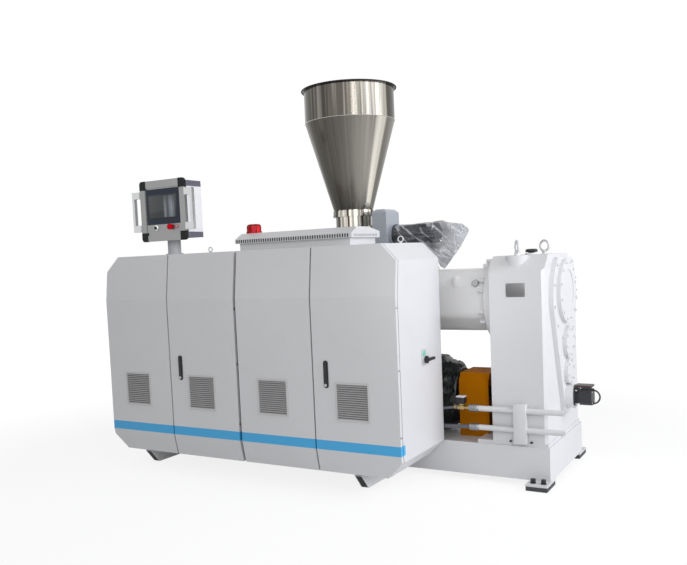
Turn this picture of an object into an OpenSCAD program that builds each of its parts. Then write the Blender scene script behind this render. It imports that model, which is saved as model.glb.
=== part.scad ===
// Conical twin-screw plastic extruder: a welded base carries the gearbox, the drive, the screw
// barrel and the feed hopper, and a four-door control cabinet stands on two cross beams before it.
// X runs along the machine from the discharge end to the gearbox, Y from the doors to the back.

/* [Control cabinet] */
// Width of one door from seam to seam, four doors side by side
door_w = 560; // [520:5:600]
// Height of the underside of the cabinet over the floor
cab_z0 = 140; // [120:5:160]
// Height of the top of the cabinet over the floor
cab_z1 = 1483; // [1440:1:1520]
// Depth of the cabinet from the doors to its back panel
cab_d = 630; // [600:5:660]
// Height of the upper fold, above which the doors lean back
fold_z = 1185; // [1150:5:1220]
// Height of the lower fold, below which the doors lean in
sill_z = 280; // [260:5:300]
// How far the doors lean back at the top
lean_top = 40; // [30:1:50]
// How far the doors lean in at the bottom
lean_low = 30; // [20:1:40]
// Side of the cut corners at the four ends of the cabinet
corner = 100; // [80:5:120]
// Sheet thickness of the cabinet
panel_t = 3; // [2:0.5:4]
// Depth of a door pan
door_t = 25; // [22:0.5:28]
// Sheet thickness of the doors
skin_t = 2.5; // [2:0.5:3]
// Width of the seam between two doors
door_gap = 9; // [8:0.5:12]
// Width of the middle seam, where two doors hinge side by side
mid_gap = 20; // [19:0.5:24]
// Gap between a closed door and the frame behind it
seal_gap = 7; // [6.5:0.5:9]
// Width of the frame profile around the door opening
post_w = 40; // [30:1:50]
// Depth of the frame profile from the doors
post_d = 115; // [100:5:140]
// Distance of a hinge pin from its door's edge
hinge_x = 7.5; // [7:0.5:9]
// Distance of a hinge pin behind the middle of the door's face
hinge_y = 8; // [7.5:0.5:9]
// Radius of a hinge pin
pin_r = 3; // [2.5:0.25:3.5]
// Running clearance on the hinge pins
pin_clear = 0.1; // [0.05:0.05:0.2]

/* [Door fittings] */
// Left edge of a vent from its seam
vent_x = 150; // [120:5:180]
// Height of the bottom of a vent
vent_z = 460; // [440:5:480]
// Width of a vent
vent_w = 226; // [200:2:240]
// Height of a vent
vent_h = 228; // [216:2:240]
// Number of fins in a vent
vent_n = 16; // [12:1:18]
// How far a vent's frame stands proud of its door
vent_lip = 6; // [4:0.5:8]
// Distance of a latch from its door's free edge
latch_x = 88; // [70:2:100]
// Height of the middle of a latch
latch_z = 733; // [700:5:1000]
// Length of a latch
latch_h = 163; // [140:1:180]
// Width of a latch
latch_w = 30; // [24:1:36]

/* [Cabinet roof] */
// Left end of the roof vent box
vbox_x0 = 1030; // [980:5:1060]
// Length of the roof vent box
vbox_l = 860; // [820:5:900]
// Front of the roof vent box
vbox_y0 = 165; // [150:5:180]
// Depth of the roof vent box
vbox_w = 370; // [350:5:390]
// Height of the riser under the vent box's eaves
vbox_riser = 47; // [35:1:55]
// Height of the vent box's upright fascia
vbox_fascia = 27; // [20:1:32]
// Height of the sloping top over the fascia
vbox_rise = 38; // [30:1:45]
// Overhang of the eaves over the riser
vbox_eave = 22; // [15:1:30]
// Radius of the warning beacon
beacon_r = 52; // [45:1:58]
// Height of the warning beacon
beacon_h = 61; // [50:1:75]

/* [Operator panel] */
// Left edge of the operator panel
hmi_x = 285; // [260:5:320]
// Front face of the operator panel behind the doors
hmi_y = 100; // [80:5:120]
// Height of the operator panel's underside over the cabinet's top
hmi_post_h = 95; // [80:1:130]
// Width of the operator panel
hmi_w = 398; // [380:2:420]
// Height of the operator panel
hmi_h = 409; // [390:1:430]
// Depth of the operator panel
hmi_d = 175; // [150:1:190]
// Radius of the operator panel's post
post_r = 45; // [38:1:52]

/* [Base] */
// Left end of the base frame
base_x0 = 60; // [20:5:100]
// How far the base frame reaches beyond the gearbox
base_end = 15; // [10:1:30]
// Width of the base frame
base_w = 802; // [780:2:820]
// Height of the underside of the base frame
base_z0 = 37; // [34:1:44]
// Height of the top of the base frame
base_z1 = 236; // [220:1:250]
// Wall thickness of the base frame
base_t = 12; // [8:1:16]
// Thickness of the machined plate under the gearbox
seat_t = 22; // [18:1:26]
// Thickness of a foot plate
foot_t = 10; // [8:1:12]
// Length of a foot plate beyond the side of the base
foot_out = 98; // [90:1:110]
// Width of a foot plate along the base
foot_w = 130; // [120:1:150]
// Radius of the anchor holes in the feet
anchor_r = 9; // [8:0.5:11]
// Distance between the two anchor holes of a foot
anchor_gap = 62; // [54:1:74]

/* [Gearbox and lantern] */
// Height of the screw axis over the floor
axis_z = 1100; // [1080:1:1120]
// Distance of the gearbox beyond the right end of the cabinet
gear_out = 312; // [300:1:330]
// Length of the gearbox along the machine
gear_l = 333; // [320:1:338]
// Width of the gearbox
gear_w = 774; // [750:2:780]
// Height of the top of the gearbox
gear_z1 = 1378; // [1360:1:1400]
// Thickness of the pear-shaped end cover
pear_t = 28; // [22:1:34]
// Thickness of the round bearing caps
cap_t = 24; // [18:1:30]
// Half height of the lantern housing
lant_r = 200; // [185:1:210]
// Radius of the lantern's flange at the gearbox
flange_r = 258; // [250:1:270]
// Thickness of the lantern's flange
flange_t = 78; // [60:1:90]

/* [Barrel] */
// Length of the cover round the barrel
cover_l = 1970; // [1900:10:2000]
// Half width of the cover, also its rise over the screw axis
cover_r = 240; // [225:5:250]
// Depth of the cover's skirt under the screw axis
cover_skirt = 200; // [180:5:220]
// Radius of the screw barrel
barrel_r = 85; // [75:1:95]
// Radius of the discharge flange
die_r = 140; // [130:1:150]
// Thickness of the discharge flange
die_t = 45; // [35:1:55]
// Radius of the discharge bore
die_bore_r = 45; // [35:1:55]
// Bolt circle diameter of the discharge flange
die_pcd = 230; // [222:1:240]
// Radius of the bolt holes in the discharge flange
die_hole_r = 9; // [7:0.5:10]
// How far the discharge flange stands out of the barrel cover
die_out = 142; // [110:2:160]

/* [Hopper and feeder] */
// Place of the hopper's axis along the machine
hop_x = 1440; // [1400:5:1480]
// Radius of the hopper's cylinder
hop_r = 316; // [290:1:330]
// Height of the hopper's cylinder
hop_cyl = 230; // [200:5:260]
// Height of the hopper's cone
hop_cone = 620; // [560:5:680]
// Radius of the hopper's outlet
hop_out_r = 138; // [125:1:145]
// Wall thickness of the hopper
hop_t = 3; // [2:0.5:4]
// Height of the hopper's outlet over the floor
hop_z0 = 1738; // [1720:1:1760]
// Radius of the feed neck
neck_r = 127; // [115:1:130]
// Width of the feeder gear unit along the machine
red_l = 108; // [96:2:120]
// Width of the feeder gear unit across the machine
red_w = 206; // [190:2:220]
// Drop of the feeder's axis under the hopper's outlet
red_drop = 188; // [184:1:196]
// Height of the feeder gear unit over its axis
red_rise = 180; // [150:1:183]
// Depth of the feeder gear unit under its axis
red_foot = 110; // [95:1:120]
// Radius of the feeder motor
fmot_r = 66; // [60:1:68]
// Length of the feeder motor
fmot_l = 300; // [280:5:320]

/* [Drive and cooling] */
// Height of the drive motor's axis
drive_z = 486; // [480:1:495]
// Distance of the drive's axis in front of the screw axis
drive_off = 75; // [60:1:90]
// Radius of the drive motor
drive_r = 235; // [220:1:240]
// Length of the drive motor
drive_l = 700; // [640:10:740]
// Length of the coupling guard
guard_l = 195; // [180:5:215]
// Half width of the coupling guard
guard_hw = 155; // [140:5:170]
// Height of the top of the coupling guard
guard_z1 = 640; // [620:1:660]
// Outer radius of the water pipes
pipe_r = 17; // [14:0.5:19]
// Height of the lower water pipe
pipe_z0 = 338; // [325:1:345]
// Distance between the two water pipes
pipe_gap = 117; // [110:1:125]
// Half side of the oil pump's square motor
pump_r = 48; // [44:1:54]
// Length of the oil pump's motor
pump_l = 108; // [100:1:120]
// Height of the oil pump's motor
pump_z = 486; // [476:1:496]

/* [Hidden] */
$fn = 48;

cab_l = 4 * door_w;
gear_x0 = cab_l + gear_out;
base_x1 = gear_x0 + gear_l + base_end;
base_gap = 6;
base_y0 = cab_d + base_gap;
base_y1 = base_y0 + base_w;
seat_z = base_z1 + seat_t;
seat_x0 = gear_x0 - 97;
gear_y0 = base_y0 + 14;
gear_y1 = gear_y0 + gear_w;
gear_x1 = gear_x0 + gear_l;
axis_y = gear_y0 + gear_w / 2 - 7;
pear_x = gear_x1 + pear_t;
pump_seat = 46;
pump_x0 = pear_x + pump_seat;
pump_x1 = pump_x0 + pump_l;
loop_r = 42;
loop_out = loop_r + 4;
die_x = base_x0 - 40 - die_out;
// The origin is the middle of the footprint on the floor
org_x = (die_x + pump_x1 + loop_out) / 2;
latch_out = 9;
foot_y1 = base_y1 + foot_out;
org_y = (-latch_out + foot_y1) / 2;
hinge_zs = [sill_z + 110, (sill_z + fold_z) / 2 + 40, fold_z - 60];

white = [0.88, 0.88, 0.88];
steel = [0.72, 0.72, 0.74];
dark = [0.16, 0.17, 0.19];

module place() {
  translate([-org_x, -org_y, 0]) children();
}

// A YZ outline drawn along X from x0 over a length
module along_x(x0, l) {
  translate([x0, 0, 0]) rotate([90, 0, 90]) linear_extrude(l) children();
}

// An XZ outline drawn along Y from y0 over a depth
module along_y(y0, d) {
  translate([0, y0 + d, 0]) rotate([90, 0, 0]) linear_extrude(d) children();
}

module box(a, b) {
  translate(a) cube([b[0] - a[0], b[1] - a[1], b[2] - a[2]]);
}

module rod_x(x0, l, y, z, r) {
  translate([x0, y, z]) rotate([0, 90, 0]) cylinder(r = r, h = l);
}

module rod_y(y0, l, x, z, r) {
  translate([x, y0 + l, z]) rotate([90, 0, 0]) cylinder(r = r, h = l);
}

module rod_z(z0, l, x, y, r) {
  translate([x, y, z0]) cylinder(r = r, h = l);
}

// Depth of the folded cabinet front at height z
function front_y(z) = z > fold_z ? lean_top * (z - fold_z) / (cab_z1 - fold_z)
  : z < sill_z ? lean_low * (sill_z - z) / (sill_z - cab_z0) : 0;

// The folded front between two depths, inset by e at top and bottom
module front_slab(d0, d1, x0, x1, e) {
  za = cab_z0 + e;
  zb = cab_z1 - e;
  along_x(x0, x1 - x0) polygon([[front_y(za) + d0, za], [d0, sill_z], [d0, fold_z],
    [front_y(zb) + d0, zb], [front_y(zb) + d1, zb], [d1, fold_z], [d1, sill_z],
    [front_y(za) + d1, za]]);
}

// What lies behind the folded front, up to a straight back
module behind_front(d0, yb, x0, x1) {
  along_x(x0, x1 - x0) polygon([[lean_low + d0, cab_z0], [d0, sill_z], [d0, fold_z],
    [lean_top + d0, cab_z1], [yb, cab_z1], [yb, cab_z0]]);
}

// The front outline with cut corners on the left and right, inset by e
module outline(x0, x1, e, cl, cr) {
  l = cl > 0 ? cl - 0.586 * e : 0;
  r = cr > 0 ? cr - 0.586 * e : 0;
  a = x0 + e;
  b = x1 - e;
  p = cab_z0 + e;
  q = cab_z1 - e;
  polygon([[a, p + l], [a + l, p], [b - r, p], [b, p + r], [b, q - r], [b - r, q], [a + l, q],
    [a, q - l]]);
}

module base_frame() {
  color(white) {
    difference() {
      box([base_x0, base_y0, base_z0], [base_x1, base_y1, base_z1]);
      for (i = [0 : 2]) {
        l = (base_x1 - base_x0 - base_t) / 3;
        box([base_x0 + base_t + i * l, base_y0 + base_t, base_z0 - 1],
          [base_x0 + (i + 1) * l, base_y1 - base_t, base_z1 - base_t]);
      }
    }
    box([seat_x0, gear_y0 - 2, base_z1], [gear_x1 + 5, gear_y1 + 2, seat_z]);
    each_foot() difference() {
      translate([-foot_w / 2, -90, base_z0 - foot_t]) cube([foot_w, 90 + foot_out, foot_t]);
      anchor_holes();
    }
  }
}

foot_xs = [base_x1 + 6 - foot_w, base_x0 - 6];

// Each foot drawn outwards along Y from the side of the base
module each_foot() {
  for (x = foot_xs) {
    translate([x + foot_w / 2, base_y1, 0]) children();
    translate([x + foot_w / 2, base_y0, 0]) mirror([0, 1, 0]) children();
  }
}

module anchor_holes() {
  for (i = [-1, 1]) {
    translate([i * anchor_gap / 2, foot_out / 2, -1]) cylinder(r = anchor_r, h = base_z0 + 2);
  }
}

module foot_pads() {
  color(dark) each_foot() difference() {
    translate([-foot_w / 2 + 2, -88, 0]) cube([foot_w - 4, 86 + foot_out, base_z0 - foot_t]);
    anchor_holes();
  }
}

beam_w = 50;
beam_h = 100;
beam_t = 4;
beam_in = [250, 278];
beam_xs = [beam_in[0], cab_l - beam_in[1] - beam_w];

module cabinet_beams() {
  color(white) for (x = beam_xs) {
    f = lean_low + door_t + seal_gap;
    difference() {
      along_x(x, beam_w) polygon([[lean_low + 8, cab_z0 - 7], [lean_low + 89, cab_z0 - beam_h],
        [base_y0, cab_z0 - beam_h], [base_y0, cab_z0], [f, cab_z0], [f, cab_z0 - 7]]);
      box([x + beam_t, lean_low, cab_z0 - beam_h + beam_t],
        [x + beam_w - beam_t, base_y0 - beam_t, cab_z0 - 7 - beam_t]);
    }
  }
}

module hinge_tongue(x, z) {
  box([x - 2.5, hinge_y - 2, z - 4], [x + 2.5, door_t + seal_gap + 1, z + 4]);
  rod_z(z - 4, 24, x, hinge_y, pin_r);
}

hinge_at = [hinge_x, 2 * door_w - mid_gap / 2 - hinge_x, 2 * door_w + mid_gap / 2 + hinge_x,
  cab_l - hinge_x];

module cabinet_frame() {
  f = door_t + seal_gap;
  color(white) {
    intersection() {
      behind_front(f, post_d, 0, cab_l);
      along_y(0, post_d + 1) difference() {
        outline(0, cab_l, panel_t, corner, corner);
        outline(0, cab_l, panel_t + post_w, corner, corner);
      }
    }
    intersection() {
      behind_front(f, post_d, 2 * door_w - 30, 2 * door_w + 30);
      box([0, 0, cab_z0 + panel_t], [cab_l, cab_d, cab_z1 - panel_t]);
    }
    box([corner, lean_low + f, cab_z0], [cab_l - corner, cab_d - panel_t, cab_z0 + panel_t]);
    box([corner, lean_top + f, cab_z1 - panel_t], [cab_l - corner, cab_d - panel_t, cab_z1]);
    for (x = hinge_at) {
      for (z = hinge_zs) {
        hinge_tongue(x, z);
      }
    }
  }
}

module end_panels() {
  color(white) for (s = [0, 1]) {
    xa = s == 0 ? 0 : cab_l - corner;
    intersection() {
      behind_front(door_t + seal_gap, cab_d - panel_t, xa, xa + corner);
      along_y(0, cab_d) difference() {
        outline(0, cab_l, 0, corner, corner);
        outline(0, cab_l, panel_t, corner, corner);
      }
    }
  }
}

module back_panel() {
  color(white) along_y(cab_d - panel_t, panel_t) outline(0, cab_l, 0, corner, corner);
}

// One door pan: k counts the doors from the left, even ones hang on their left edge
module door(k) {
  xa = k == 0 ? 0 : k * door_w + (k == 2 ? mid_gap : door_gap) / 2;
  xb = k == 3 ? cab_l : (k + 1) * door_w - (k == 1 ? mid_gap : door_gap) / 2;
  cl = k == 0 ? corner : 0;
  cr = k == 3 ? corner : 0;
  left = k == 0 || k == 2;
  hx = hinge_at[k];
  color(white) difference() {
    union() {
      difference() {
        intersection() {
          front_slab(0, door_t, xa, xb, 0);
          along_y(-1, 100) outline(xa, xb, 0, cl, cr);
        }
        intersection() {
          front_slab(skin_t, door_t + 20, xa, xb, skin_t);
          along_y(-1, 100) outline(xa, xb, skin_t, cl, cr);
        }
      }
      for (z = hinge_zs) {
        box([left ? xa : hx - 6, skin_t / 2, z + 4.3], [left ? hx + 6 : xb, hinge_y + 6, z + 19]);
      }
    }
    for (z = hinge_zs) {
      box([left ? xa - 1 : xb - skin_t - 0.5, skin_t, z - 9],
        [left ? xa + skin_t + 0.5 : xb + 1, door_t + 1, z + 4.3]);
      rod_z(z, 20, hx, hinge_y, pin_r + pin_clear);
    }
    along_y(-1, skin_t + 2) vent_outline(k, vent_rim - vent_clear);
  }
}

vent_rim = 9;
vent_clear = 0.5;
vent_deep = 14;

// The outline of a door's vent, inset by e
module vent_outline(k, e) {
  translate([k * door_w + vent_x + e, vent_z + e]) square([vent_w - 2 * e, vent_h - 2 * e]);
}

// A louvred filter grille: a rim on the door, a skirt through it and sloping fins
module vent(k) {
  pitch = (vent_h - 2 * vent_rim - 2) / vent_n;
  color([0.6, 0.6, 0.6]) {
    difference() {
      union() {
        along_y(-vent_lip, vent_lip) vent_outline(k, 0);
        along_y(-1, vent_deep) vent_outline(k, vent_rim);
      }
      along_y(-vent_lip - 1, vent_lip + vent_deep + 1) vent_outline(k, vent_rim + 2);
    }
    for (i = [0 : vent_n - 1]) {
      translate([0, 0, vent_z + vent_rim + 1 + i * pitch])
        along_x(k * door_w + vent_x + vent_rim + 1, vent_w - 2 * vent_rim - 2)
        polygon([[1 - vent_lip, 1], [3 - vent_lip, 0], [vent_deep - 5, pitch - 1.5],
          [vent_deep - 5, pitch]]);
    }
  }
}

module latch(k) {
  x = k * door_w + door_gap / 2 + latch_x;
  z0 = latch_z - latch_h / 2;
  color(dark) {
    along_y(-latch_out + 3, latch_out - 3) hull() {
      translate([x, z0 + latch_w / 2]) circle(r = latch_w / 2, $fn = 32);
      translate([x, z0 + latch_h - latch_w / 2]) circle(r = latch_w / 2, $fn = 32);
    }
    box([x - latch_w / 2 + 5, -latch_out, z0 + 34], [x + latch_w / 2 - 5, -latch_out + 4,
      z0 + latch_h - 10]);
    rod_y(-latch_out, 4, x, z0 + 17, 9);
  }
}

vb_z0 = cab_z1;
vb_z1 = cab_z1 + vbox_riser;
vb_z2 = vb_z1 + vbox_fascia;
vb_z3 = vb_z2 + vbox_rise;

module roof_vent_box() {
  ya = vbox_y0;
  yb = vbox_y0 + vbox_w;
  e = vbox_eave;
  xb = vbox_x0 + vbox_l;
  color(white) difference() {
    union() {
      box([vbox_x0 + e, ya + e, vb_z0], [xb - e, yb - e, vb_z1 + 1]);
      along_x(vbox_x0, vbox_l) polygon([[ya, vb_z1], [ya, vb_z2], [ya + 75, vb_z3],
        [yb - 145, vb_z3], [yb, vb_z2 + 11], [yb, vb_z1]]);
    }
    box([vbox_x0 + e + 3, ya + e + 3, vb_z0 - 1], [xb - e - 3, yb - e - 3, vb_z1 + 12]);
    for (i = [0 : 47]) {
      x = vbox_x0 + 12 + i * (vbox_l - 24) / 48;
      box([x, ya - 1, vb_z1 + 7], [x + 8, ya + 14, vb_z2 - 6]);
    }
    for (i = [0 : 15]) {
      y = ya + 30 + i * (vbox_w - 60) / 16;
      box([xb - 14, y, vb_z1 + 7], [xb + 1, y + 8, vb_z2 - 6]);
    }
  }
}

// An eye with its shank, standing on z and turned by a
module eye(x, y, z, r, t, a) {
  translate([x, y, z]) rotate([0, 0, a]) {
    cylinder(r = t * 1.1, h = t * 1.5);
    translate([0, 0, t * 1.2 + r]) rotate([90, 0, 0]) rotate_extrude() translate([r, 0])
      circle(r = t / 2, $fn = 24);
  }
}

eye_x = gear_x0 + 156;
eye_y = gear_y0 + 78;
boss_r = 66;
boss_h = 118;

roof_eye_l = [hmi_x + hmi_w + 31, 300];
roof_eye_r = [cab_l - 180, cab_d - 150];

module lifting_eyes() {
  color(steel) {
    eye(roof_eye_l[0], roof_eye_l[1], cab_z1, 15, 7, 0);
    eye(roof_eye_r[0], roof_eye_r[1], cab_z1, 17, 8, 0);
    eye(eye_x, eye_y, gear_z1, 34, 15, -59);
    eye(gear_x0 + 195, gear_y1 - 234, gear_z1, 34, 15, -23);
  }
}

beacon_x = vbox_x0 + 62;
beacon_y = vbox_y0 + 130;

module beacon() {
  color([0.78, 0.06, 0.12]) {
    rod_z(vb_z3, 12, beacon_x, beacon_y, beacon_r);
    rod_z(vb_z3 + 12, beacon_h - 18, beacon_x, beacon_y, beacon_r - 3);
    translate([beacon_x, beacon_y, vb_z3 + beacon_h - 6]) cylinder(r1 = beacon_r - 3,
      r2 = beacon_r - 9, h = 6);
  }
}

iso_y = 358;
iso_z = 786;

module isolator_plate() {
  color([0.1, 0.6, 0.3]) {
    box([cab_l, iso_y - 34, iso_z - 34], [cab_l + 3, iso_y + 34, iso_z + 62]);
    rod_x(cab_l + 3, 9, iso_y, iso_z, 26);
    rod_x(cab_l + 12, 8, iso_y, iso_z, 6);
  }
}

module isolator_lever() {
  color(dark) {
    difference() {
      rod_x(cab_l + 12.3, 14, iso_y, iso_z, 22);
      rod_x(cab_l + 11, 10, iso_y, iso_z, 6.1);
    }
    box([cab_l + 22, iso_y - 30, iso_z - 8], [cab_l + 38, iso_y + 86, iso_z + 8]);
  }
}

hmi_z = cab_z1 + hmi_post_h;
hmi_xc = hmi_x + hmi_w / 2;
post_y = hmi_y + hmi_d / 2 + 9;
// How far the panel's rear box stays inside its front frame
rear_in = [4, 15];

module panel_post() {
  color(steel) {
    rod_z(cab_z1, 8, hmi_xc, post_y, post_r + 14);
    rod_z(cab_z1, hmi_post_h + rear_in[1], hmi_xc, post_y, post_r);
  }
}

// The panel frame's outline with rounded corners, inset by e
module frame_outline(e) {
  r = 22;
  hull() {
    for (x = [hmi_x + e + r, hmi_x + hmi_w - e - r]) {
      for (z = [hmi_z + e + r, hmi_z + hmi_h - e - r]) {
        translate([x, z]) circle(r = r, $fn = 32);
      }
    }
  }
}

frame_front = 15;
frame_back = 14;
frame_slope = 8;
module panel_case() {
  y0 = hmi_y;
  z0 = hmi_z;
  y1 = y0 + frame_front;
  color([0.66, 0.67, 0.66]) difference() {
    union() {
      along_y(y0, frame_front) frame_outline(0);
      hull() {
        along_y(y1 - 1, 1) frame_outline(0);
        along_y(y1 + frame_back - 1, 1) frame_outline(frame_slope);
      }
      box([hmi_x + rear_in[0], y1 + frame_back - 4, z0 + rear_in[1]],
        [hmi_x + hmi_w - rear_in[0], y0 + hmi_d, z0 + hmi_h - rear_in[1]]);
    }
    box([hmi_x + 45, y0 - 1, z0 + 40], [hmi_x + hmi_w - 45, y0 + 5, z0 + hmi_h - 50]);
  }
}

screen_in = [53, 113];
screen_out = [55, 58];

module panel_screen() {
  color([0.17, 0.21, 0.28]) box([hmi_x + screen_in[0], hmi_y + 1, hmi_z + screen_in[1]],
    [hmi_x + hmi_w - screen_out[0], hmi_y + 5, hmi_z + hmi_h - screen_out[1]]);
}

handle_out = 68;
handle_w = 20;
handle_t = 26;
handle_in = 68;
bracket_h = 46;

module panel_handles() {
  h = hmi_h - 2 * handle_in;
  color([0.66, 0.67, 0.66]) for (s = [0, 1]) {
    xa = s == 0 ? hmi_x - handle_out : hmi_x + hmi_w;
    along_y(hmi_y - 8, handle_t) difference() {
      translate([xa, hmi_z + handle_in]) square([handle_out, h]);
      translate([s == 0 ? xa + handle_w : xa - 1, hmi_z + handle_in + bracket_h])
        square([handle_out - handle_w + 1, h - 2 * bracket_h]);
    }
  }
}

module panel_buttons() {
  color([0.7, 0.05, 0.08]) {
    rod_y(hmi_y - 24, 29, hmi_x + 0.662 * hmi_w, hmi_z + 92, 19);
    rod_y(hmi_y - 14, 19, hmi_x + 0.32 * hmi_w, hmi_z + 90, 15);
    rod_y(hmi_y - 12, 17, hmi_x + 0.785 * hmi_w, hmi_z + 92, 14);
  }
}

hop_z1 = hop_z0 + hop_cone;
hop_z2 = hop_z1 + hop_cyl;
rim_t = 8;
rim_out = 14;

module hopper() {
  t = hop_t;
  color(steel) translate([hop_x, axis_y, 0]) rotate_extrude($fn = 72) polygon([
    [hop_out_r, hop_z0], [hop_r, hop_z1], [hop_r, hop_z2 - rim_t], [hop_r + rim_out, hop_z2 - rim_t],
    [hop_r + rim_out, hop_z2], [hop_r - t, hop_z2], [hop_r - t, hop_z1],
    [hop_out_r - t, hop_z0 + 8], [hop_out_r - t, hop_z0 - 26], [hop_out_r + 6, hop_z0 - 26],
    [hop_out_r + 6, hop_z0]]);
}

clamp_z1 = hop_z0 - 26;

module hopper_clamp() {
  color(steel) {
    translate([hop_x, axis_y, clamp_z1 - 16]) difference() {
      cylinder(r = hop_out_r + 8, h = 16);
      translate([0, 0, -1]) cylinder(r = neck_r - 6, h = 18);
    }
    box([hop_x - hop_out_r - 26, axis_y - 14, clamp_z1 - 15],
      [hop_x - hop_out_r - 4, axis_y + 14, clamp_z1 - 1]);
  }
}

neck_z1 = clamp_z1 - 16;
cover_z1 = axis_z + cover_r;
neck_half = 150;

module feed_neck() {
  color(steel) difference() {
    union() {
      rod_z(cover_z1, neck_z1 - cover_z1, hop_x, axis_y, neck_r);
      box([hop_x - neck_half, axis_y - neck_half, cover_z1],
        [hop_x + neck_half, axis_y + neck_half, cover_z1 + 20]);
      rod_x(hop_x, red_x0 - hop_x, axis_y, red_z, 80);
    }
    rod_z(red_z, neck_z1 - red_z + 1, hop_x, axis_y, neck_r - 6);
  }
}

red_x0 = hop_x + neck_r + 70;
red_x1 = red_x0 + red_l;
red_z = hop_z0 - red_drop;
red_cut = 22;
fin_h = 9;
fin_n = 28;

// The feeder gear unit's outline between a and b, its top corners cut off
module cut_top(a, b) {
  z0 = red_z - red_foot;
  z1 = red_z + red_rise;
  c = red_cut;
  polygon([[a, z0], [a, z1 - c], [a + c, z1], [b - c, z1], [b, z1 - c], [b, z0]]);
}

module feeder_gear() {
  color([0.5, 0.52, 0.56]) {
    intersection() {
      along_x(red_x0, red_l) cut_top(axis_y - red_w / 2, axis_y + red_w / 2);
      along_y(axis_y - red_w / 2, red_w) cut_top(red_x0, red_x1);
    }
    rod_x(red_x1, 22, axis_y, red_z, 69);
  }
}

module feeder_motor() {
  color(dark) {
    x0 = red_x1 + 34;
    cowl = 62;
    rod_x(red_x1 + 22, 12, axis_y, red_z, fmot_r + 8);
    rod_x(x0, fmot_l, axis_y, red_z, fmot_r - fin_h);
    rod_x(x0, 16, axis_y, red_z, fmot_r);
    rod_x(x0 + fmot_l - cowl, cowl, axis_y, red_z, fmot_r);
    for (a = [0 : 360 / fin_n : 359]) {
      translate([x0 + 8, axis_y, red_z]) rotate([a, 0, 0])
        translate([0, -1.5, fmot_r - 2 * fin_h]) cube([fmot_l - cowl, 3, 2 * fin_h - 1]);
    }
    box([x0 + 70, axis_y + fmot_r - 22, red_z - 52], [x0 + 160, axis_y + fmot_r + 14, red_z + 14]);
  }
}

// Rings of the loose film bag over the feeder motor, from the gear unit to its free end: place
// beyond the unit, top and bottom over the motor's axis, and half width
film_rings = [[37, fmot_r + 6, -fmot_r - 14, fmot_r + 28], [327, fmot_r + 10, -174, fmot_r + 48],
  [373, fmot_r + 12, -246, fmot_r + 22], [455, fmot_r - 9, -142, 60], [540, 20, -12, 16]];
film_t = 3;

module film_ring(s, g) {
  translate([red_x1 + s[0], axis_y, red_z + (s[1] + s[2]) / 2]) rotate([0, 90, 0])
    scale([(s[1] - s[2]) / 2 - g, s[3] - g, 1]) cylinder(r = 1, h = 1, $fn = 24);
}

// The bag's form, inset by g
module film_form(g) {
  d = [g, 0, 0, 0];
  hull() {
    film_ring(film_rings[0] + d, g);
    film_ring(film_rings[1], g);
  }
  hull() {
    film_ring(film_rings[1], g);
    film_ring(film_rings[2], g);
  }
  hull() {
    film_ring(film_rings[2], g);
    film_ring(film_rings[3], g);
    film_ring(film_rings[4] - d, g);
  }
}

module feeder_film() {
  color([0.8, 0.82, 0.85]) difference() {
    film_form(0);
    film_form(film_t);
    rod_x(red_x1 + 30, 40, axis_y, red_z, fmot_r + 0.4);
  }
}

lant_cut = 84;
lant_round = 70;
boss_out = 16;
boss_in = 34;
ring_t = 22;
ring_r = 240;

module lantern() {
  x0 = cover_x1;
  x1 = gear_x0 - flange_t;
  c = lant_cut;
  r = lant_r;
  color(white) {
    along_x(x0, x1 - x0) offset(r = lant_round) offset(delta = -lant_round)
      polygon([[axis_y - r, axis_z - r + c], [axis_y - r + c, axis_z - r],
        [axis_y + r - c, axis_z - r], [axis_y + r, axis_z - r + c], [axis_y + r, axis_z + r - c],
        [axis_y + r - c, axis_z + r], [axis_y - r + c, axis_z + r], [axis_y - r, axis_z + r - c]]);
    rod_x(x1, ring_t, axis_y, axis_z, ring_r);
    translate([x1 + ring_t - 1, axis_y, axis_z]) rotate([0, 90, 0])
      cylinder(r1 = ring_r - 4, r2 = flange_r, h = flange_t - ring_t + 1);
    for (x = [x1 - 168, x1 - 52]) {
      translate([x, axis_y - r - boss_out, axis_z + r - c - boss_in]) rotate([-90, 0, 0])
        cylinder(r = boss_in - 4, h = boss_out + 1);
    }
  }
}

module gearbox() {
  color(white) difference() {
    union() {
      along_x(gear_x0, gear_l) polygon([[gear_y0, seat_z], [gear_y0, gear_z1 - 92],
        [gear_y0 + 100, gear_z1], [gear_y1 - 214, gear_z1], [gear_y1, gear_z1 - 228],
        [gear_y1, seat_z]]);
      translate([eye_x, eye_y, gear_z1 - boss_h]) cylinder(r1 = boss_r - 32, r2 = boss_r,
        h = boss_h);
    }
    for (y = [gear_y0, gear_y1]) {
      translate([gear_x1, y, seat_z - 1]) rotate([0, 0, 45]) translate([-12, -12, 0])
        cube([24, 24, 1300]);
    }
  }
}

pear_r = 288;
pear_foot_r = 66;
pear_mid_z = axis_z + 20;
pear_flat = 235;

module end_cover() {
  color(white) along_x(gear_x1, pear_t) hull() {
    translate([axis_y, pear_mid_z]) intersection() {
      circle(r = pear_r, $fn = 64);
      translate([-pear_r, -pear_r]) square([2 * pear_r, pear_r + pear_flat]);
    }
    translate([axis_y, drive_z - 46]) circle(r = pear_foot_r, $fn = 32);
  }
}

cap_rs = [196, 98, 80, 76];
cap_dish = 130;

module bearing_caps() {
  color(white) {
    difference() {
      rod_x(pear_x, cap_t, axis_y - 18, axis_z + 48, cap_rs[0]);
      rod_x(pear_x + cap_t - 5, 6, axis_y - 18, axis_z + 48, cap_dish);
    }
    rod_x(pear_x, cap_t, axis_y, axis_z - 270, cap_rs[1]);
    rod_x(pear_x, cap_t, axis_y, axis_z - 456, cap_rs[2]);
    rod_x(pear_x, pump_seat, axis_y, pump_z, cap_rs[3]);
  }
}

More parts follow.
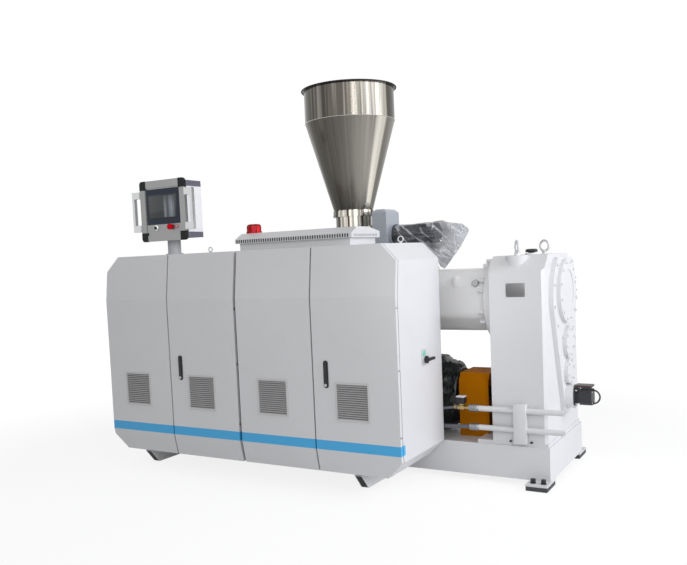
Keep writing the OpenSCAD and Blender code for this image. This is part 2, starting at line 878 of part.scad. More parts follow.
module breather() {
  color(dark) {
    translate([gear_x0 + 150, axis_y + 20, gear_z1]) rotate_extrude() polygon([[0, 0], [42, 0],
      [42, 8], [40, 10], [19, 10], [19, 22], [36, 24], [38, 27], [38, 37], [33, 43], [0, 45]]);
  }
}

// A square of half side h on the pump's axis, with its corners cut by c
module cut_square(h, c) {
  translate([axis_y, pump_z]) polygon([[-h, c - h], [c - h, -h], [h - c, -h], [h, c - h],
    [h, h - c], [h - c, h], [c - h, h], [-h, h - c]]);
}

module oil_pump_motor() {
  color(dark) {
    along_x(pump_x0, 12) cut_square(pump_r + 5, 16);
    along_x(pump_x0 + 12, 22) cut_square(pump_r - 9, 12);
    along_x(pump_x0 + 34, pump_l - 34) cut_square(pump_r, 14);
    box([pump_x0 + 44, axis_y - 30, pump_z + pump_r - 1], [pump_x1 - 14, axis_y + 30,
      pump_z + pump_r + 14]);
    box([pump_x0 + 8, axis_y - 40, pump_z + pump_r + 13], [pump_x1 - 2, axis_y + 40,
      pump_z + pump_r + 26]);
    // Stiff conduit loop on the motor's end
    for (z = [-loop_r, loop_r]) {
      rod_x(pump_x1 - 2, 6, axis_y, pump_z + z, 8);
    }
    translate([pump_x1 - 1, axis_y, pump_z]) rotate([90, 0, 0]) rotate([0, 0, -90])
      rotate_extrude(angle = 180, $fn = 48) translate([loop_r, 0]) circle(r = 5, $fn = 24);
  }
}

drive_y = axis_y - drive_off;
guard_gap = 74;
guard_x0 = gear_x0 - guard_gap - guard_l;
guard_cut = [36, 53];
guard_t = 4;

module coupling_guard() {
  y = drive_y;
  h = guard_hw;
  a = guard_cut[0];
  c = guard_cut[1];
  t = guard_t;
  color([0.6, 0.34, 0.03]) difference() {
    along_x(guard_x0, guard_l) difference() {
      polygon([[y - h, base_z1], [y - h, guard_z1 - c], [y - h + a, guard_z1],
        [y + h - a, guard_z1], [y + h, guard_z1 - c], [y + h, base_z1]]);
      polygon([[y - h + t, base_z1 - 1], [y - h + t, guard_z1 - c - 1],
        [y - h + a + 2, guard_z1 - t], [y + h - a - 2, guard_z1 - t],
        [y + h - t, guard_z1 - c - 1], [y + h - t, base_z1 - 1]]);
    }
    box([seat_x0, gear_y0 - 10, base_z1 - 1], [gear_x1, gear_y1 + 10, seat_z]);
  }
}

drive_foot = 145;
drive_x1 = guard_x0 - 20;
drive_x0 = drive_x1 - drive_l;
nose_l = 120;

module drive_motor() {
  color([0.1, 0.11, 0.12]) {
    rod_x(drive_x0, drive_l - nose_l, drive_y, drive_z, drive_r);
    translate([drive_x1 - nose_l, drive_y, drive_z]) rotate([0, 90, 0])
      cylinder(r1 = drive_r, r2 = drive_r - 70, h = nose_l);
    rod_x(drive_x1, gear_x0 - drive_x1, drive_y, drive_z, 45);
    for (x = [drive_x0 + 60, drive_x1 - 280]) {
      box([x, drive_y - drive_foot, base_z1], [x + 120, drive_y + drive_foot, drive_z - 120]);
    }
  }
}

pipe_y = gear_y0 - pipe_r - 6;
pipe_x0 = gear_x0 - 82;
pipe_x1 = gear_x1 + 105;
pipe_depth = 60;
clip_x0 = gear_x0 + 143;
clip_x1 = clip_x0 + 90;

module water_pipes() {
  color(white) {
    for (z = [pipe_z0, pipe_z0 + pipe_gap]) {
      difference() {
        rod_x(pipe_x0 + 56, pipe_x1 - pipe_x0 - 56, pipe_y, z, pipe_r);
        rod_x(pipe_x1 - pipe_depth, pipe_depth + 1, pipe_y, z, pipe_r - 4);
      }
      rod_x(pipe_x0, 56, pipe_y, z, pipe_r + 4);
    }
    difference() {
      box([clip_x0, gear_y0 - 50, seat_z], [clip_x1, gear_y0, pipe_z0 + pipe_gap + 40]);
      box([clip_x0 + 6, gear_y0 - 44, seat_z - 1], [clip_x1 - 6, gear_y0 + 1,
        pipe_z0 + pipe_gap + 34]);
    }
  }
}

valve_l = 100;

module water_valve() {
  z = pipe_z0 + pipe_gap;
  color([0.7, 0.55, 0.25]) {
    rod_x(pipe_x0 - valve_l, valve_l, pipe_y, z, 14);
    box([pipe_x0 - 75, pipe_y - 20, z - 20], [pipe_x0 - 30, pipe_y + 20, z + 22]);
    box([pipe_x0 - 82, pipe_y - 24, z + 22], [pipe_x0 - 26, pipe_y + 24, z + 72]);
  }
}

ferrule_l = 42;

// A straight tube between two points
module tube(a, b, r) {
  d = b - a;
  translate(a) rotate([0, atan2(norm([d[0], d[1]]), d[2]), atan2(d[1], d[0])])
    cylinder(r = r, h = norm(d));
}

// A stiff hose from a fitting at a to a wall at b, with a ferrule square to each
module hose(a, b, r) {
  rod_x(a[0] - ferrule_l, ferrule_l, a[1], a[2], r + 4);
  tube([a[0] - ferrule_l + 10, a[1], a[2]], [b[0] + ferrule_l - 10, b[1], b[2]], r);
  rod_x(b[0], ferrule_l, b[1], b[2], r + 4);
}

module water_hoses() {
  x = leg_xs[1] + leg_l;
  y = axis_y - plinth_hw + 25;
  color(dark) {
    hose([pipe_x0, pipe_y, pipe_z0], [x, y, base_z1 + 26], 13);
    hose([pipe_x0 - valve_l, pipe_y, pipe_z0 + pipe_gap], [x, y, base_z1 + 66], 9);
  }
}

cover_x0 = base_x0 - 40;
cover_x1 = cover_x0 + cover_l;
leg_xs = [base_x0 + 60, 1180];
leg_l = 160;
plinth_hw = 300;
plinth_h = 84;

module barrel() {
  color(steel) difference() {
    union() {
      rod_x(die_x + die_t - 1, cover_x0 - die_x - die_t + 1, axis_y, axis_z, barrel_r);
      rod_x(die_x, die_t, axis_y, axis_z, die_r);
    }
    rod_x(die_x - 1, die_out + 1, axis_y, axis_z, die_bore_r);
    for (i = [0 : 7]) {
      a = 22.5 + i * 45;
      rod_x(die_x - 1, die_t + 2, axis_y + die_pcd / 2 * cos(a), axis_z + die_pcd / 2 * sin(a),
        die_hole_r);
    }
  }
}

module barrel_cover() {
  y = axis_y;
  z = axis_z;
  r = cover_r;
  c = r - 50;
  color(white) {
    along_x(cover_x0, cover_l) polygon([[y - r, z - cover_skirt], [y - r, z + c], [y - c, z + r],
      [y + c, z + r], [y + r, z + c], [y + r, z - cover_skirt]]);
    for (x = leg_xs) {
      box([x, y - c, base_z1], [x + leg_l, y + c, z - cover_skirt]);
      box([x, y - plinth_hw, base_z1], [x + leg_l, y + plinth_hw, base_z1 + plinth_h]);
    }
  }
}

place() base_frame();
place() foot_pads();
place() cabinet_beams();
place() cabinet_frame();
place() end_panels();
place() back_panel();
place() door(0);  // door_1
place() door(1);  // door_2
place() door(2);  // door_3
place() door(3);  // door_4
place() vent(0);  // vent_1
place() vent(1);  // vent_2
place() vent(2);  // vent_3
place() vent(3);  // vent_4
place() latch(1);  // latch_2
place() latch(3);  // latch_4
place() roof_vent_box();
place() lifting_eyes();
place() beacon();
place() isolator_plate();
place() isolator_lever();
place() panel_post();
place() panel_case();
place() panel_screen();
place() panel_handles();
place() panel_buttons();
place() hopper();
place() hopper_clamp();
place() feed_neck();
place() feeder_gear();
place() feeder_motor();
place() feeder_film();
place() lantern();
place() gearbox();
place() end_cover();
place() bearing_caps();
place() breather();
place() oil_pump_motor();
place() coupling_guard();
place() drive_motor();
place() water_pipes();
place() water_valve();
place() water_hoses();
place() barrel();
place() barrel_cover();
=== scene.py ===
"""The looks of a conical twin-screw plastic extruder with its four-door control cabinet.

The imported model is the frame. This script lights it, gives every part its finish, and adds the
fittings, fasteners and films that the solids leave out. Places are written in millimetres from the
cabinet's left end, on the plane of the doors, at the floor, and at() turns them to metres. Finishes
and Blender's own settings, such as the width of a bevel, are in metres.
"""

import math

import bmesh
import bpy
from mathutils import Matrix, Vector, noise


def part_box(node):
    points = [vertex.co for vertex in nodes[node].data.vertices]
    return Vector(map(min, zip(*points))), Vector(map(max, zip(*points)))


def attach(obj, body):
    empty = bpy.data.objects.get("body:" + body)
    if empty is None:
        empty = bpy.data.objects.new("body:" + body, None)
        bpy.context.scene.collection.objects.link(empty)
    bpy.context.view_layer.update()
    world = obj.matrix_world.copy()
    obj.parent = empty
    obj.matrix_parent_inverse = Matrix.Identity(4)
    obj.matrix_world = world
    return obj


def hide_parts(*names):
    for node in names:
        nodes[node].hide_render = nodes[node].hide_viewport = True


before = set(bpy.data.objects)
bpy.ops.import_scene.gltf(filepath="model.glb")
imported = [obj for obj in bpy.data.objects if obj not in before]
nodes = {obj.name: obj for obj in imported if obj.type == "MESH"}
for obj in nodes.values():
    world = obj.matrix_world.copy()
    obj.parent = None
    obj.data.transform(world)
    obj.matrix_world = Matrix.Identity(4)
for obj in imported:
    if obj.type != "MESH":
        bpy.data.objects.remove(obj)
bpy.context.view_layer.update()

CORNER = Vector((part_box("door_1")[0].x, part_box("door_1")[0].y, 0.0))
# The photograph's size in pixels
IMAGE_W, IMAGE_H = 687, 565
# The screws' axis, and the height of the drive motor's
AXIS_Y, AXIS_Z = 1030, 1100
DRIVE_Z = 486
# The doors' pitch, the heights where they start, fold and end, and how far foot and top lean back
DOOR_W = 560
FOOT_Z, LOW_FOLD_Z, TOP_FOLD_Z, EAVE_Z = 140, 280, 1185, 1483
LOW_LEAN, TOP_LEAN = 30, 40
BEAM_W = 50
LANTERN_FLANGE_L = 80
# The left ends of the water pipes' couplings, and the pipes' places
COUPLING_X = 2418
PIPE_Y, LOW_PIPE_Z, TOP_PIPE_Z = 627, 338, 455
PAINT = (0.70, 0.70, 0.71)


def at(x, y, z):
    """A point given in millimetres from the cabinet's left front corner."""
    return CORNER + Vector((x, y, z)) / 1000


def size_of(node):
    """A node's lowest and highest corners in the same millimetres."""
    low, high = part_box(node)
    return (low - CORNER) * 1000, (high - CORNER) * 1000


# Camera, light and floor

def photo_camera():
    """The photograph's own viewpoint, turn, tilt and framing."""
    yaw, pitch, roll = (math.radians(a) for a in (31.139, -4.218, -2.582))
    focal, centre_u, centre_v = 778.05, 323.51, 314.69
    data = bpy.data.cameras.new("photo_camera")
    data.sensor_width = 36
    data.lens = data.sensor_width * focal / IMAGE_W
    data.shift_x = (IMAGE_W / 2 - centre_u) / IMAGE_W
    data.shift_y = (centre_v - IMAGE_H / 2) / IMAGE_W
    data.clip_end = 200
    camera = bpy.data.objects.new("photo_camera", data)
    bpy.context.scene.collection.objects.link(camera)
    ahead = Vector((-math.sin(yaw) * math.cos(pitch), math.cos(yaw) * math.cos(pitch),
                    math.sin(pitch)))
    right = ahead.cross(Vector((0, 0, 1))).normalized()
    up = right.cross(ahead)
    across = right * math.cos(roll) + up * math.sin(roll)
    over = up * math.cos(roll) - right * math.sin(roll)
    camera.matrix_world = Matrix.Translation(at(4118.5, -3881.9, 1419.2)) @ Matrix(
        (across, over, -ahead)).transposed().to_4x4()
    bpy.context.scene.camera = camera


def lamp(name, place, target, width, height, power, colour=(1, 1, 1)):
    """A soft rectangular lamp that looks at a point."""
    data = bpy.data.lights.new(name, "AREA")
    data.shape = "RECTANGLE"
    data.size, data.size_y = width, height
    data.energy = power
    data.color = colour
    obj = bpy.data.objects.new(name, data)
    obj.location = place
    obj.rotation_euler = (target - place).to_track_quat("-Z", "Y").to_euler()
    bpy.context.scene.collection.objects.link(obj)


class Wire:
    """A shader socket that takes part in Python sums."""

    def __init__(self, finish, out):
        self.finish, self.out = finish, out

    def maths(self, operation, *values):
        return self.finish.node("Math", {"operation": operation},
                                {i: v for i, v in enumerate(values)})

    def __add__(self, other):
        return self.maths("ADD", self, other)

    __radd__ = __add__

    def __sub__(self, other):
        return self.maths("SUBTRACT", self, other)

    def __rsub__(self, other):
        return self.maths("SUBTRACT", other, self)

    def __mul__(self, other):
        return self.maths("MULTIPLY", self, other)

    __rmul__ = __mul__

    def __truediv__(self, other):
        return self.maths("DIVIDE", self, other)

    def __gt__(self, other):
        return self.maths("GREATER_THAN", self, other)

    def __lt__(self, other):
        return self.maths("LESS_THAN", self, other)

    def __pow__(self, other):
        return self.maths("POWER", self, other)


class Finish:
    """A material whose nodes are made one call at a time."""

    def __init__(self, name, **fixed):
        self.material = bpy.data.materials.new(name)
        self.material.use_nodes = True
        self.tree = self.material.node_tree
        self.tree.nodes.clear()
        self.shader = self.tree.nodes.new("ShaderNodeBsdfPrincipled")
        self.output = self.tree.nodes.new("ShaderNodeOutputMaterial")
        self.tree.links.new(self.shader.outputs[0], self.output.inputs[0])
        self.place = self.node("TexCoord", out="Object")
        for socket, value in fixed.items():
            self.feed(self.shader.inputs[socket.replace("_", " ")], value)

    def node(self, kind, settings=None, inputs=None, out=0):
        """Adds a node with its settings and inputs, and gives one of its outputs."""
        made = self.tree.nodes.new("ShaderNode" + kind)
        for key, value in (settings or {}).items():
            if key == "stops":
                ramp = made.color_ramp.elements
                while len(ramp) < len(value):
                    ramp.new(0.5)
                for stop, (position, colour) in zip(ramp, value):
                    stop.position = position
                    stop.color = colour
            else:
                setattr(made, key, value)
        for key, value in (inputs or {}).items():
            self.feed(made.inputs[key], value)
        return Wire(self, made.outputs[out])

    def feed(self, socket, value):
        """Links a wire to a socket, or sets the socket to a plain value."""
        if isinstance(value, Wire):
            self.tree.links.new(value.out, socket)
        elif socket.type == "RGBA" and len(value) == 3:
            socket.default_value = (*value, 1)
        else:
            socket.default_value = value

    def set(self, **links):
        """Feeds the shader's sockets by name."""
        for socket, value in links.items():
            self.feed(self.shader.inputs[socket.replace("_", " ")], value)

    def axes(self):
        """The x, y and z of the point that is shaded."""
        return [self.node("SeparateXYZ", inputs={0: self.place}, out=i) for i in range(3)]

    def stretched(self, x, y, z):
        """The point that is shaded, scaled along each axis."""
        return self.node("VectorMath", {"operation": "MULTIPLY"}, {0: self.place, 1: (x, y, z)})

    def noise(self, scale, detail=2.0, rough=0.5, place=None, kind="TexNoise"):
        inputs = {"Vector": place or self.place, "Scale": scale}
        if kind == "TexNoise":
            inputs.update({"Detail": detail, "Roughness": rough})
        return self.node(kind, inputs=inputs)

    def ramp(self, value, *stops):
        """Runs a value through straight stretches between (value, level) pairs."""
        grey = [(p, (v, v, v, 1)) for p, v in stops]
        return self.node("ValToRGB", {"stops": grey}, {0: value})

    def blend(self, amount, first, second):
        """A colour between two, by amount."""
        return self.node("Mix", {"data_type": "RGBA"}, {0: amount, 6: first, 7: second}, out=2)

    def maths_max(self, first, second):
        return self.node("Math", {"operation": "MAXIMUM"}, {0: first, 1: second})

    def bump(self, height, depth_mm, strength=1.0):
        return self.node("Bump", inputs={"Height": height, "Distance": depth_mm / 1000,
                                         "Strength": strength})


def clear_film():
    """Thin clear film with painted highlights along its creases, darker where it lies over the motor
    on the left.
    """
    f = Finish("clear_film", Specular_IOR_Level=0.8)
    x, y, z = f.axes()
    across, along = x * 0.67 + z * 0.74, x * 0.74 - z * 0.67
    pleats = f.node("CombineXYZ", inputs={0: across * 12.0, 1: along * 1.6, 2: y * 4.0})
    # Painted highlights in streaks along the creases
    painted_crease_highlights = f.ramp(f.noise(1.0, 3.0, 0.6, pleats), (0.54, 0.0), (0.585, 1.0), (0.63, 0.05))
    loose = f.ramp((x - at(2085, 0, 0).x) * 6.0, (0.0, 0.0), (0.9, 1.0))
    # Thin painted highlight veins where the film hangs loose on the right
    painted_vein_highlights = f.ramp(f.noise(7.0, 3.0, 0.55, f.stretched(1.7, 1, 0.8)), (0.45, 0.0), (0.49, 1.0),
                   (0.51, 0.1), (0.58, 0.0), (0.62, 1.0), (0.66, 0.0))
    # All the painted highlights: they whiten the colour and make the film less clear
    white = f.maths_max(painted_crease_highlights * 0.8, painted_vein_highlights * loose)
    # Darker where the film lies over the motor, paler where it hangs loose
    base = f.blend(loose, (0.075, 0.08, 0.095), (0.33, 0.35, 0.4))
    haze = f.noise(9.0, 4.0, 0.6)
    f.set(Base_Color=f.blend(white, base, (0.82, 0.84, 0.9)),
          Alpha=f.maths_max(white, f.ramp(haze, (0.35, 0.5), (0.7, 0.8)) - loose * 0.2),
          Roughness=f.ramp(haze, (0.3, 0.1), (0.7, 0.24)),
          Normal=f.bump(f.noise(60.0, 3.0, 0.5), 0.5, 0.4))
    return f.material


def tint(colour, factor):
    """A colour made darker or lighter."""
    return tuple(min(1.0, c * factor) for c in colour)


def surroundings():
    """A dim pale sky for the light, and pure white where it is seen, mirrored or seen through."""
    world = bpy.data.worlds.new("studio")
    bpy.context.scene.world = world
    world.use_nodes = True
    tree = world.node_tree
    tree.nodes.clear()
    ray, seen, either, soft, white, mix, out = (tree.nodes.new("ShaderNode" + kind) for kind in (
        "LightPath", "Math", "Math", "Background", "Background", "MixShader", "OutputWorld"))
    seen.operation = either.operation = "MAXIMUM"
    soft.inputs["Color"].default_value = (0.97, 0.98, 1.0, 1)
    soft.inputs["Strength"].default_value = 0.36
    white.inputs["Color"].default_value = (1, 1, 1, 1)
    for source, target in ((ray.outputs["Is Camera Ray"], seen.inputs[0]),
                           (ray.outputs["Is Transmission Ray"], seen.inputs[1]),
                           (seen.outputs[0], either.inputs[0]),
                           (ray.outputs["Is Glossy Ray"], either.inputs[1]),
                           (either.outputs[0], mix.inputs[0]), (soft.outputs[0], mix.inputs[1]),
                           (white.outputs[0], mix.inputs[2]), (mix.outputs[0], out.inputs[0])):
        tree.links.new(source, target)


def fill_light():
    """A narrow beam into the gap between the cabinet and the gearbox."""
    beam = bpy.data.lights.new("fill_light", "SPOT")
    beam.energy, beam.spot_size, beam.spot_blend, beam.shadow_soft_size = 300, 0.2, 1.0, 0.5
    fill = bpy.data.objects.new("fill_light", beam)
    fill.location = at(4000, -3400, 1900)
    fill.rotation_euler = (at(2340, 850, 1150) - fill.location).to_track_quat(
        "-Z", "Y").to_euler()
    bpy.context.scene.collection.objects.link(fill)


def pale_floor():
    """White paper that fades into the background and keeps the machine's shadow."""
    alone()
    bpy.ops.mesh.primitive_plane_add(size=60, location=(0, 0, 0))
    floor = bpy.context.active_object
    floor.name = "floor"
    paint = Finish("floor_paper", Roughness=0.9, Base_Color=(0.78, 0.78, 0.78))
    glow = paint.node("Emission", inputs={"Color": (1, 1, 1), "Strength": 1.09})
    x, y, _ = paint.axes()
    away = (x * x + y * y) ** 0.5 * 0.1
    seen = paint.node("LightPath", out="Is Camera Ray") * paint.ramp(away, (0.25, 0.77), (0.55, 1.0))
    mirrored = paint.node("LightPath", out="Is Glossy Ray") * 0.4
    mixed = paint.node("MixShader", inputs={0: paint.maths_max(seen, mirrored),
                                            1: Wire(paint, paint.shader.outputs[0]), 2: glow})
    paint.feed(paint.output.inputs[0], mixed)
    floor.data.materials.append(paint.material)


def studio():
    """Even pale surroundings, a bright side light from the right and a pale floor."""
    centre = at(1500, 500, 1000)
    surroundings()
    lamp("side_light", at(8200, 500, 3200), centre, 4.5, 4.5, 305, (0.93, 0.95, 1.0))
    lamp("front_light", at(900, -7000, 4200), centre, 6, 3, 60)
    fill_light()
    lamp("strip_light", at(5200, -3600, 3600), at(1500, 1000, 2200), 0.5, 3.2, 60)
    pale_floor()


# Finishes

def worn(finish, colour, spread=0.05, grime=(0.33, 0.32, 0.3), soot=0.0):
    """A colour with broad cloudy fading, fine speckle and a little dust."""
    broad = finish.noise(1.7, 4.0, 0.6)
    fine = finish.noise(55.0, 3.0, 0.55)
    shade = finish.blend(broad, tint(colour, 1 - spread), tint(colour, 1 + spread))
    dust = finish.ramp(finish.noise(9.0, 5.0, 0.65), (0.56, 0.0), (0.82, 0.12 + soot))
    return finish.blend(dust * fine, shade, grime)


def machine_paint(name, colour, rough=0.36, **fixed):
    """Sprayed enamel on steel: orange peel, faint clouds and thin handling dust."""
    f = Finish(name, **fixed)
    peel = f.noise(420.0, 2.0)
    smear = f.noise(6.0, 4.0, 0.6, f.stretched(1, 1, 0.3))
    f.set(Base_Color=worn(f, colour), Roughness=f.ramp(smear, (0.3, rough - 0.06),
                                                       (0.75, rough + 0.1)),
          Normal=f.bump(peel, 0.12, 0.35))
    return f.material


def cabinet_paint():
    """The cabinet's paint with the blue band low on its doors."""
    f = Finish("cabinet_paint")
    _, y, z = f.axes()
    band_low, band_high = LOW_FOLD_Z / 1000, 0.338
    wrap = at(0, 60, 0).y
    band = (z > band_low) * (z < band_high) * (y < wrap)
    colour = f.blend(band, worn(f, PAINT), worn(f, (0.064, 0.425, 0.785), 0.03))
    smear = f.noise(5.0, 4.0, 0.6, f.stretched(1, 1, 0.3))
    f.set(Base_Color=colour, Roughness=f.ramp(smear, (0.3, 0.34), (0.75, 0.48)),
          Normal=f.bump(f.noise(420.0, 2.0), 0.12, 0.35))
    return f.material


def polished_steel(name, axis_x, axis_y, seam_z, neck_z):
    """Polished sheet rolled round an upright axis, with painted reflections in upright streaks.

    Below neck_z the tube is narrow, and its reflections are bold stripes.
    """
    f = Finish(name, Metallic=1.0, Anisotropic=0.6)
    x, y, z = f.axes()
    turn = f.node("Math", {"operation": "ARCTAN2"}, {0: y - axis_y, 1: x - axis_x})
    band = f.node("CombineXYZ", inputs={0: turn, 1: z * 0.05, 2: 0.0})
    wide = f.noise(2.6, 3.0, 0.6, band)
    narrow = f.noise(16.0, 2.0, 0.5, band)
    # Dark and pale ends of the painted reflections
    deep, pale = (0.07, 0.064, 0.055), (0.95, 0.9, 0.8)
    # A broad painted reflection glancing down the side that faces the photographer, and narrow
    # painted reflection streaks over it
    left_edge, share = 2.64, 0.3185
    side = (turn + left_edge) * share
    painted_glance = f.ramp(side, (0.02, 0.1), (0.12, 0.07), (0.32, 0.08), (0.45, 0.14), (0.55, 0.2),
                    (0.62, 0.24), (0.69, 0.28), (0.708, 0.75), (0.725, 1.0), (0.78, 1.0),
                    (0.8, 0.3), (0.88, 0.2), (0.98, 0.1))
    painted_reflection_streaks = f.ramp(wide * 0.65 + narrow * 0.35, (0.36, 0.0), (0.64, 1.0))
    cone = f.ramp(z - seam_z, (0.0, 1.0), (0.004, 0.0))
    amount = (painted_reflection_streaks - 0.5) * (0.45 - cone * 0.33) + painted_glance * (cone * 0.65 + 0.35)
    neck = f.ramp(z - neck_z, (0.0, 1.0), (0.004, 0.0))
    # Painted reflections in bold light and dark stripes round the narrow neck
    painted_neck_stripes = f.ramp(f.noise(5.0, 2.0, 0.5, band), (0.46, 0.0), (0.6, 1.0))
    amount = amount + (painted_neck_stripes - amount) * neck
    # The colour goes from dark to pale with the amount of painted reflection
    shade = f.blend(amount, deep, pale)
    hair = f.noise(500.0, 2.0, 0.5, f.stretched(1, 1, 0.02))
    f.set(Base_Color=shade, Roughness=f.ramp(narrow, (0.3, 0.16), (0.7, 0.3)),
          Normal=f.bump(hair, 0.05, 0.3))
    return f.material


def beacon_finish():
    """Red lens with painted light and shade round each side, painted shade towards its top, and a
    painted highlight stripe down the middle of each side.
    """
    low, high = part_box("beacon")
    middle = (low + high) / 2
    f = Finish("beacon_lens_red", Specular_IOR_Level=0.15)
    x, y, z = f.axes()
    turn = f.node("Math", {"operation": "ARCTAN2"}, {0: y - middle.y, 1: x - middle.x})
    left_edge, share = 5.78, 0.3183
    side = f.node("Math", {"operation": "MODULO"}, {0: turn + left_edge, 1: math.pi}) * share
    # Painted shade, darkening the lens towards its top
    top = f.ramp((high.z - z) * 20.0, (0.08, 0.1), (0.3, 1.0))
    # Painted light and shade round each side of the lens
    level = f.ramp(side, (0.0, 0.1), (0.18, 0.25), (0.24, 0.6), (0.33, 0.5), (0.36, 0.12),
                   (0.4, 0.3), (0.44, 0.9), (0.56, 0.9), (0.6, 0.25), (0.645, 0.2),
                   (0.68, 0.9), (0.82, 0.85), (0.88, 0.2), (1.0, 0.1))
    # A painted highlight stripe down the middle of each side
    painted_highlight_stripe = f.ramp(side, (0.42, 0.0), (0.46, 0.8), (0.55, 0.8), (0.59, 0.0))
    red = f.blend(level * top, (0.12, 0.001, 0.004), (0.84, 0.004, 0.01))
    f.set(Base_Color=f.blend(painted_highlight_stripe * top, red, (0.62, 0.03, 0.055)),
          Roughness=f.ramp(f.noise(60.0), (0.3, 0.16), (0.7, 0.24)))
    return f.material


def panel_finish():
    """Satin frame in front, and behind it a painted box with dark bands at its edges."""
    low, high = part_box("panel_case")
    f = Finish("panel_finish")
    _, y, z = f.axes()
    frame_deep, top_band, low_band = 0.0285, 0.054, 0.052
    box = y > low.y + frame_deep
    band = f.maths_max(z > high.z - top_band, z < low.z + low_band)
    side = f.blend(band, worn(f, (0.95, 0.955, 0.99)), worn(f, (0.145, 0.14, 0.185)))
    f.set(Base_Color=f.blend(box, worn(f, (0.335, 0.34, 0.335), 0.08), side), Metallic=1.0 - box,
          Roughness=f.ramp(f.noise(40.0, 3.0), (0.3, 0.34), (0.7, 0.44)),
          Normal=f.bump(f.noise(500.0, 2.0, 0.5, f.stretched(0.05, 1, 1)), 0.05, 0.3))
    return f.material


def screen_finish():
    """Dark glass with the pale upright reflections that stand on its right half."""
    low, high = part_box("panel_screen")
    f = Finish("screen_finish", Roughness=0.12)
    x, _, z = f.axes()
    across = (x - low.x) / (high.x - low.x)
    rise = (z - low.z) / (high.z - low.z)
    painted_reflection_streaks = f.ramp(across, (0.53, 0.0), (0.56, 0.75), (0.61, 0.8), (0.63, 0.15), (0.68, 0.3),
                     (0.72, 0.95), (0.79, 1.0), (0.82, 0.5), (0.85, 0.6), (0.87, 0.05))
    fade = f.ramp(rise, (0.15, 0.8), (0.3, 1.0), (0.6, 0.85), (0.8, 0.3), (0.88, 0.1))
    cloud = f.ramp(f.noise(30.0, 3.0, 0.6, f.stretched(1, 1, 0.25)), (0.3, 0.55), (0.7, 1.0))
    f.set(Base_Color=f.blend(painted_reflection_streaks * fade * cloud, (0.045, 0.052, 0.056), (0.36, 0.385, 0.44)))
    return f.material


def grille_finish():
    """Grey moulding with painted shade that darkens it towards the back of its fins."""
    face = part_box("vent_4")[0].y
    f = Finish("grille_finish")
    _, y, _ = f.axes()
    # Painted shade, darker deeper in behind the front of the fins
    depth = f.ramp((y - face) * 40.0, (0.1, 0.0), (0.55, 1.0))
    f.set(Base_Color=f.blend(depth, worn(f, (0.61, 0.605, 0.605)), worn(f, (0.06, 0.06, 0.062))),
          Roughness=f.ramp(f.noise(30.0), (0.3, 0.44), (0.7, 0.6)),
          Normal=f.bump(f.noise(700.0, kind="TexVoronoi"), 0.08, 0.4))
    return f.material


def bare_steel(name, colour, rough=0.3):
    """Turned or plated steel with fine tool marks."""
    f = Finish(name, Metallic=1.0)
    marks = f.noise(240.0, 3.0, 0.6)
    f.set(Base_Color=worn(f, colour, 0.1), Roughness=f.ramp(marks, (0.3, rough - 0.08),
                                                            (0.7, rough + 0.12)),
          Normal=f.bump(marks, 0.04, 0.4))
    return f.material


def moulded(name, colour, rough=0.45, grain=700.0, **fixed):
    """Moulded plastic or rubber with a fine leathery grain."""
    f = Finish(name, **fixed)
    cells = f.noise(grain, kind="TexVoronoi")
    f.set(Base_Color=worn(f, colour, 0.08, soot=0.1),
          Roughness=f.ramp(f.noise(30.0), (0.3, rough - 0.06), (0.7, rough + 0.1)),
          Normal=f.bump(cells, 0.08, 0.4))
    return f.material


def dress(obj, material):
    """Gives an object one material."""
    obj.data.materials.clear()
    obj.data.materials.append(material)
    return obj


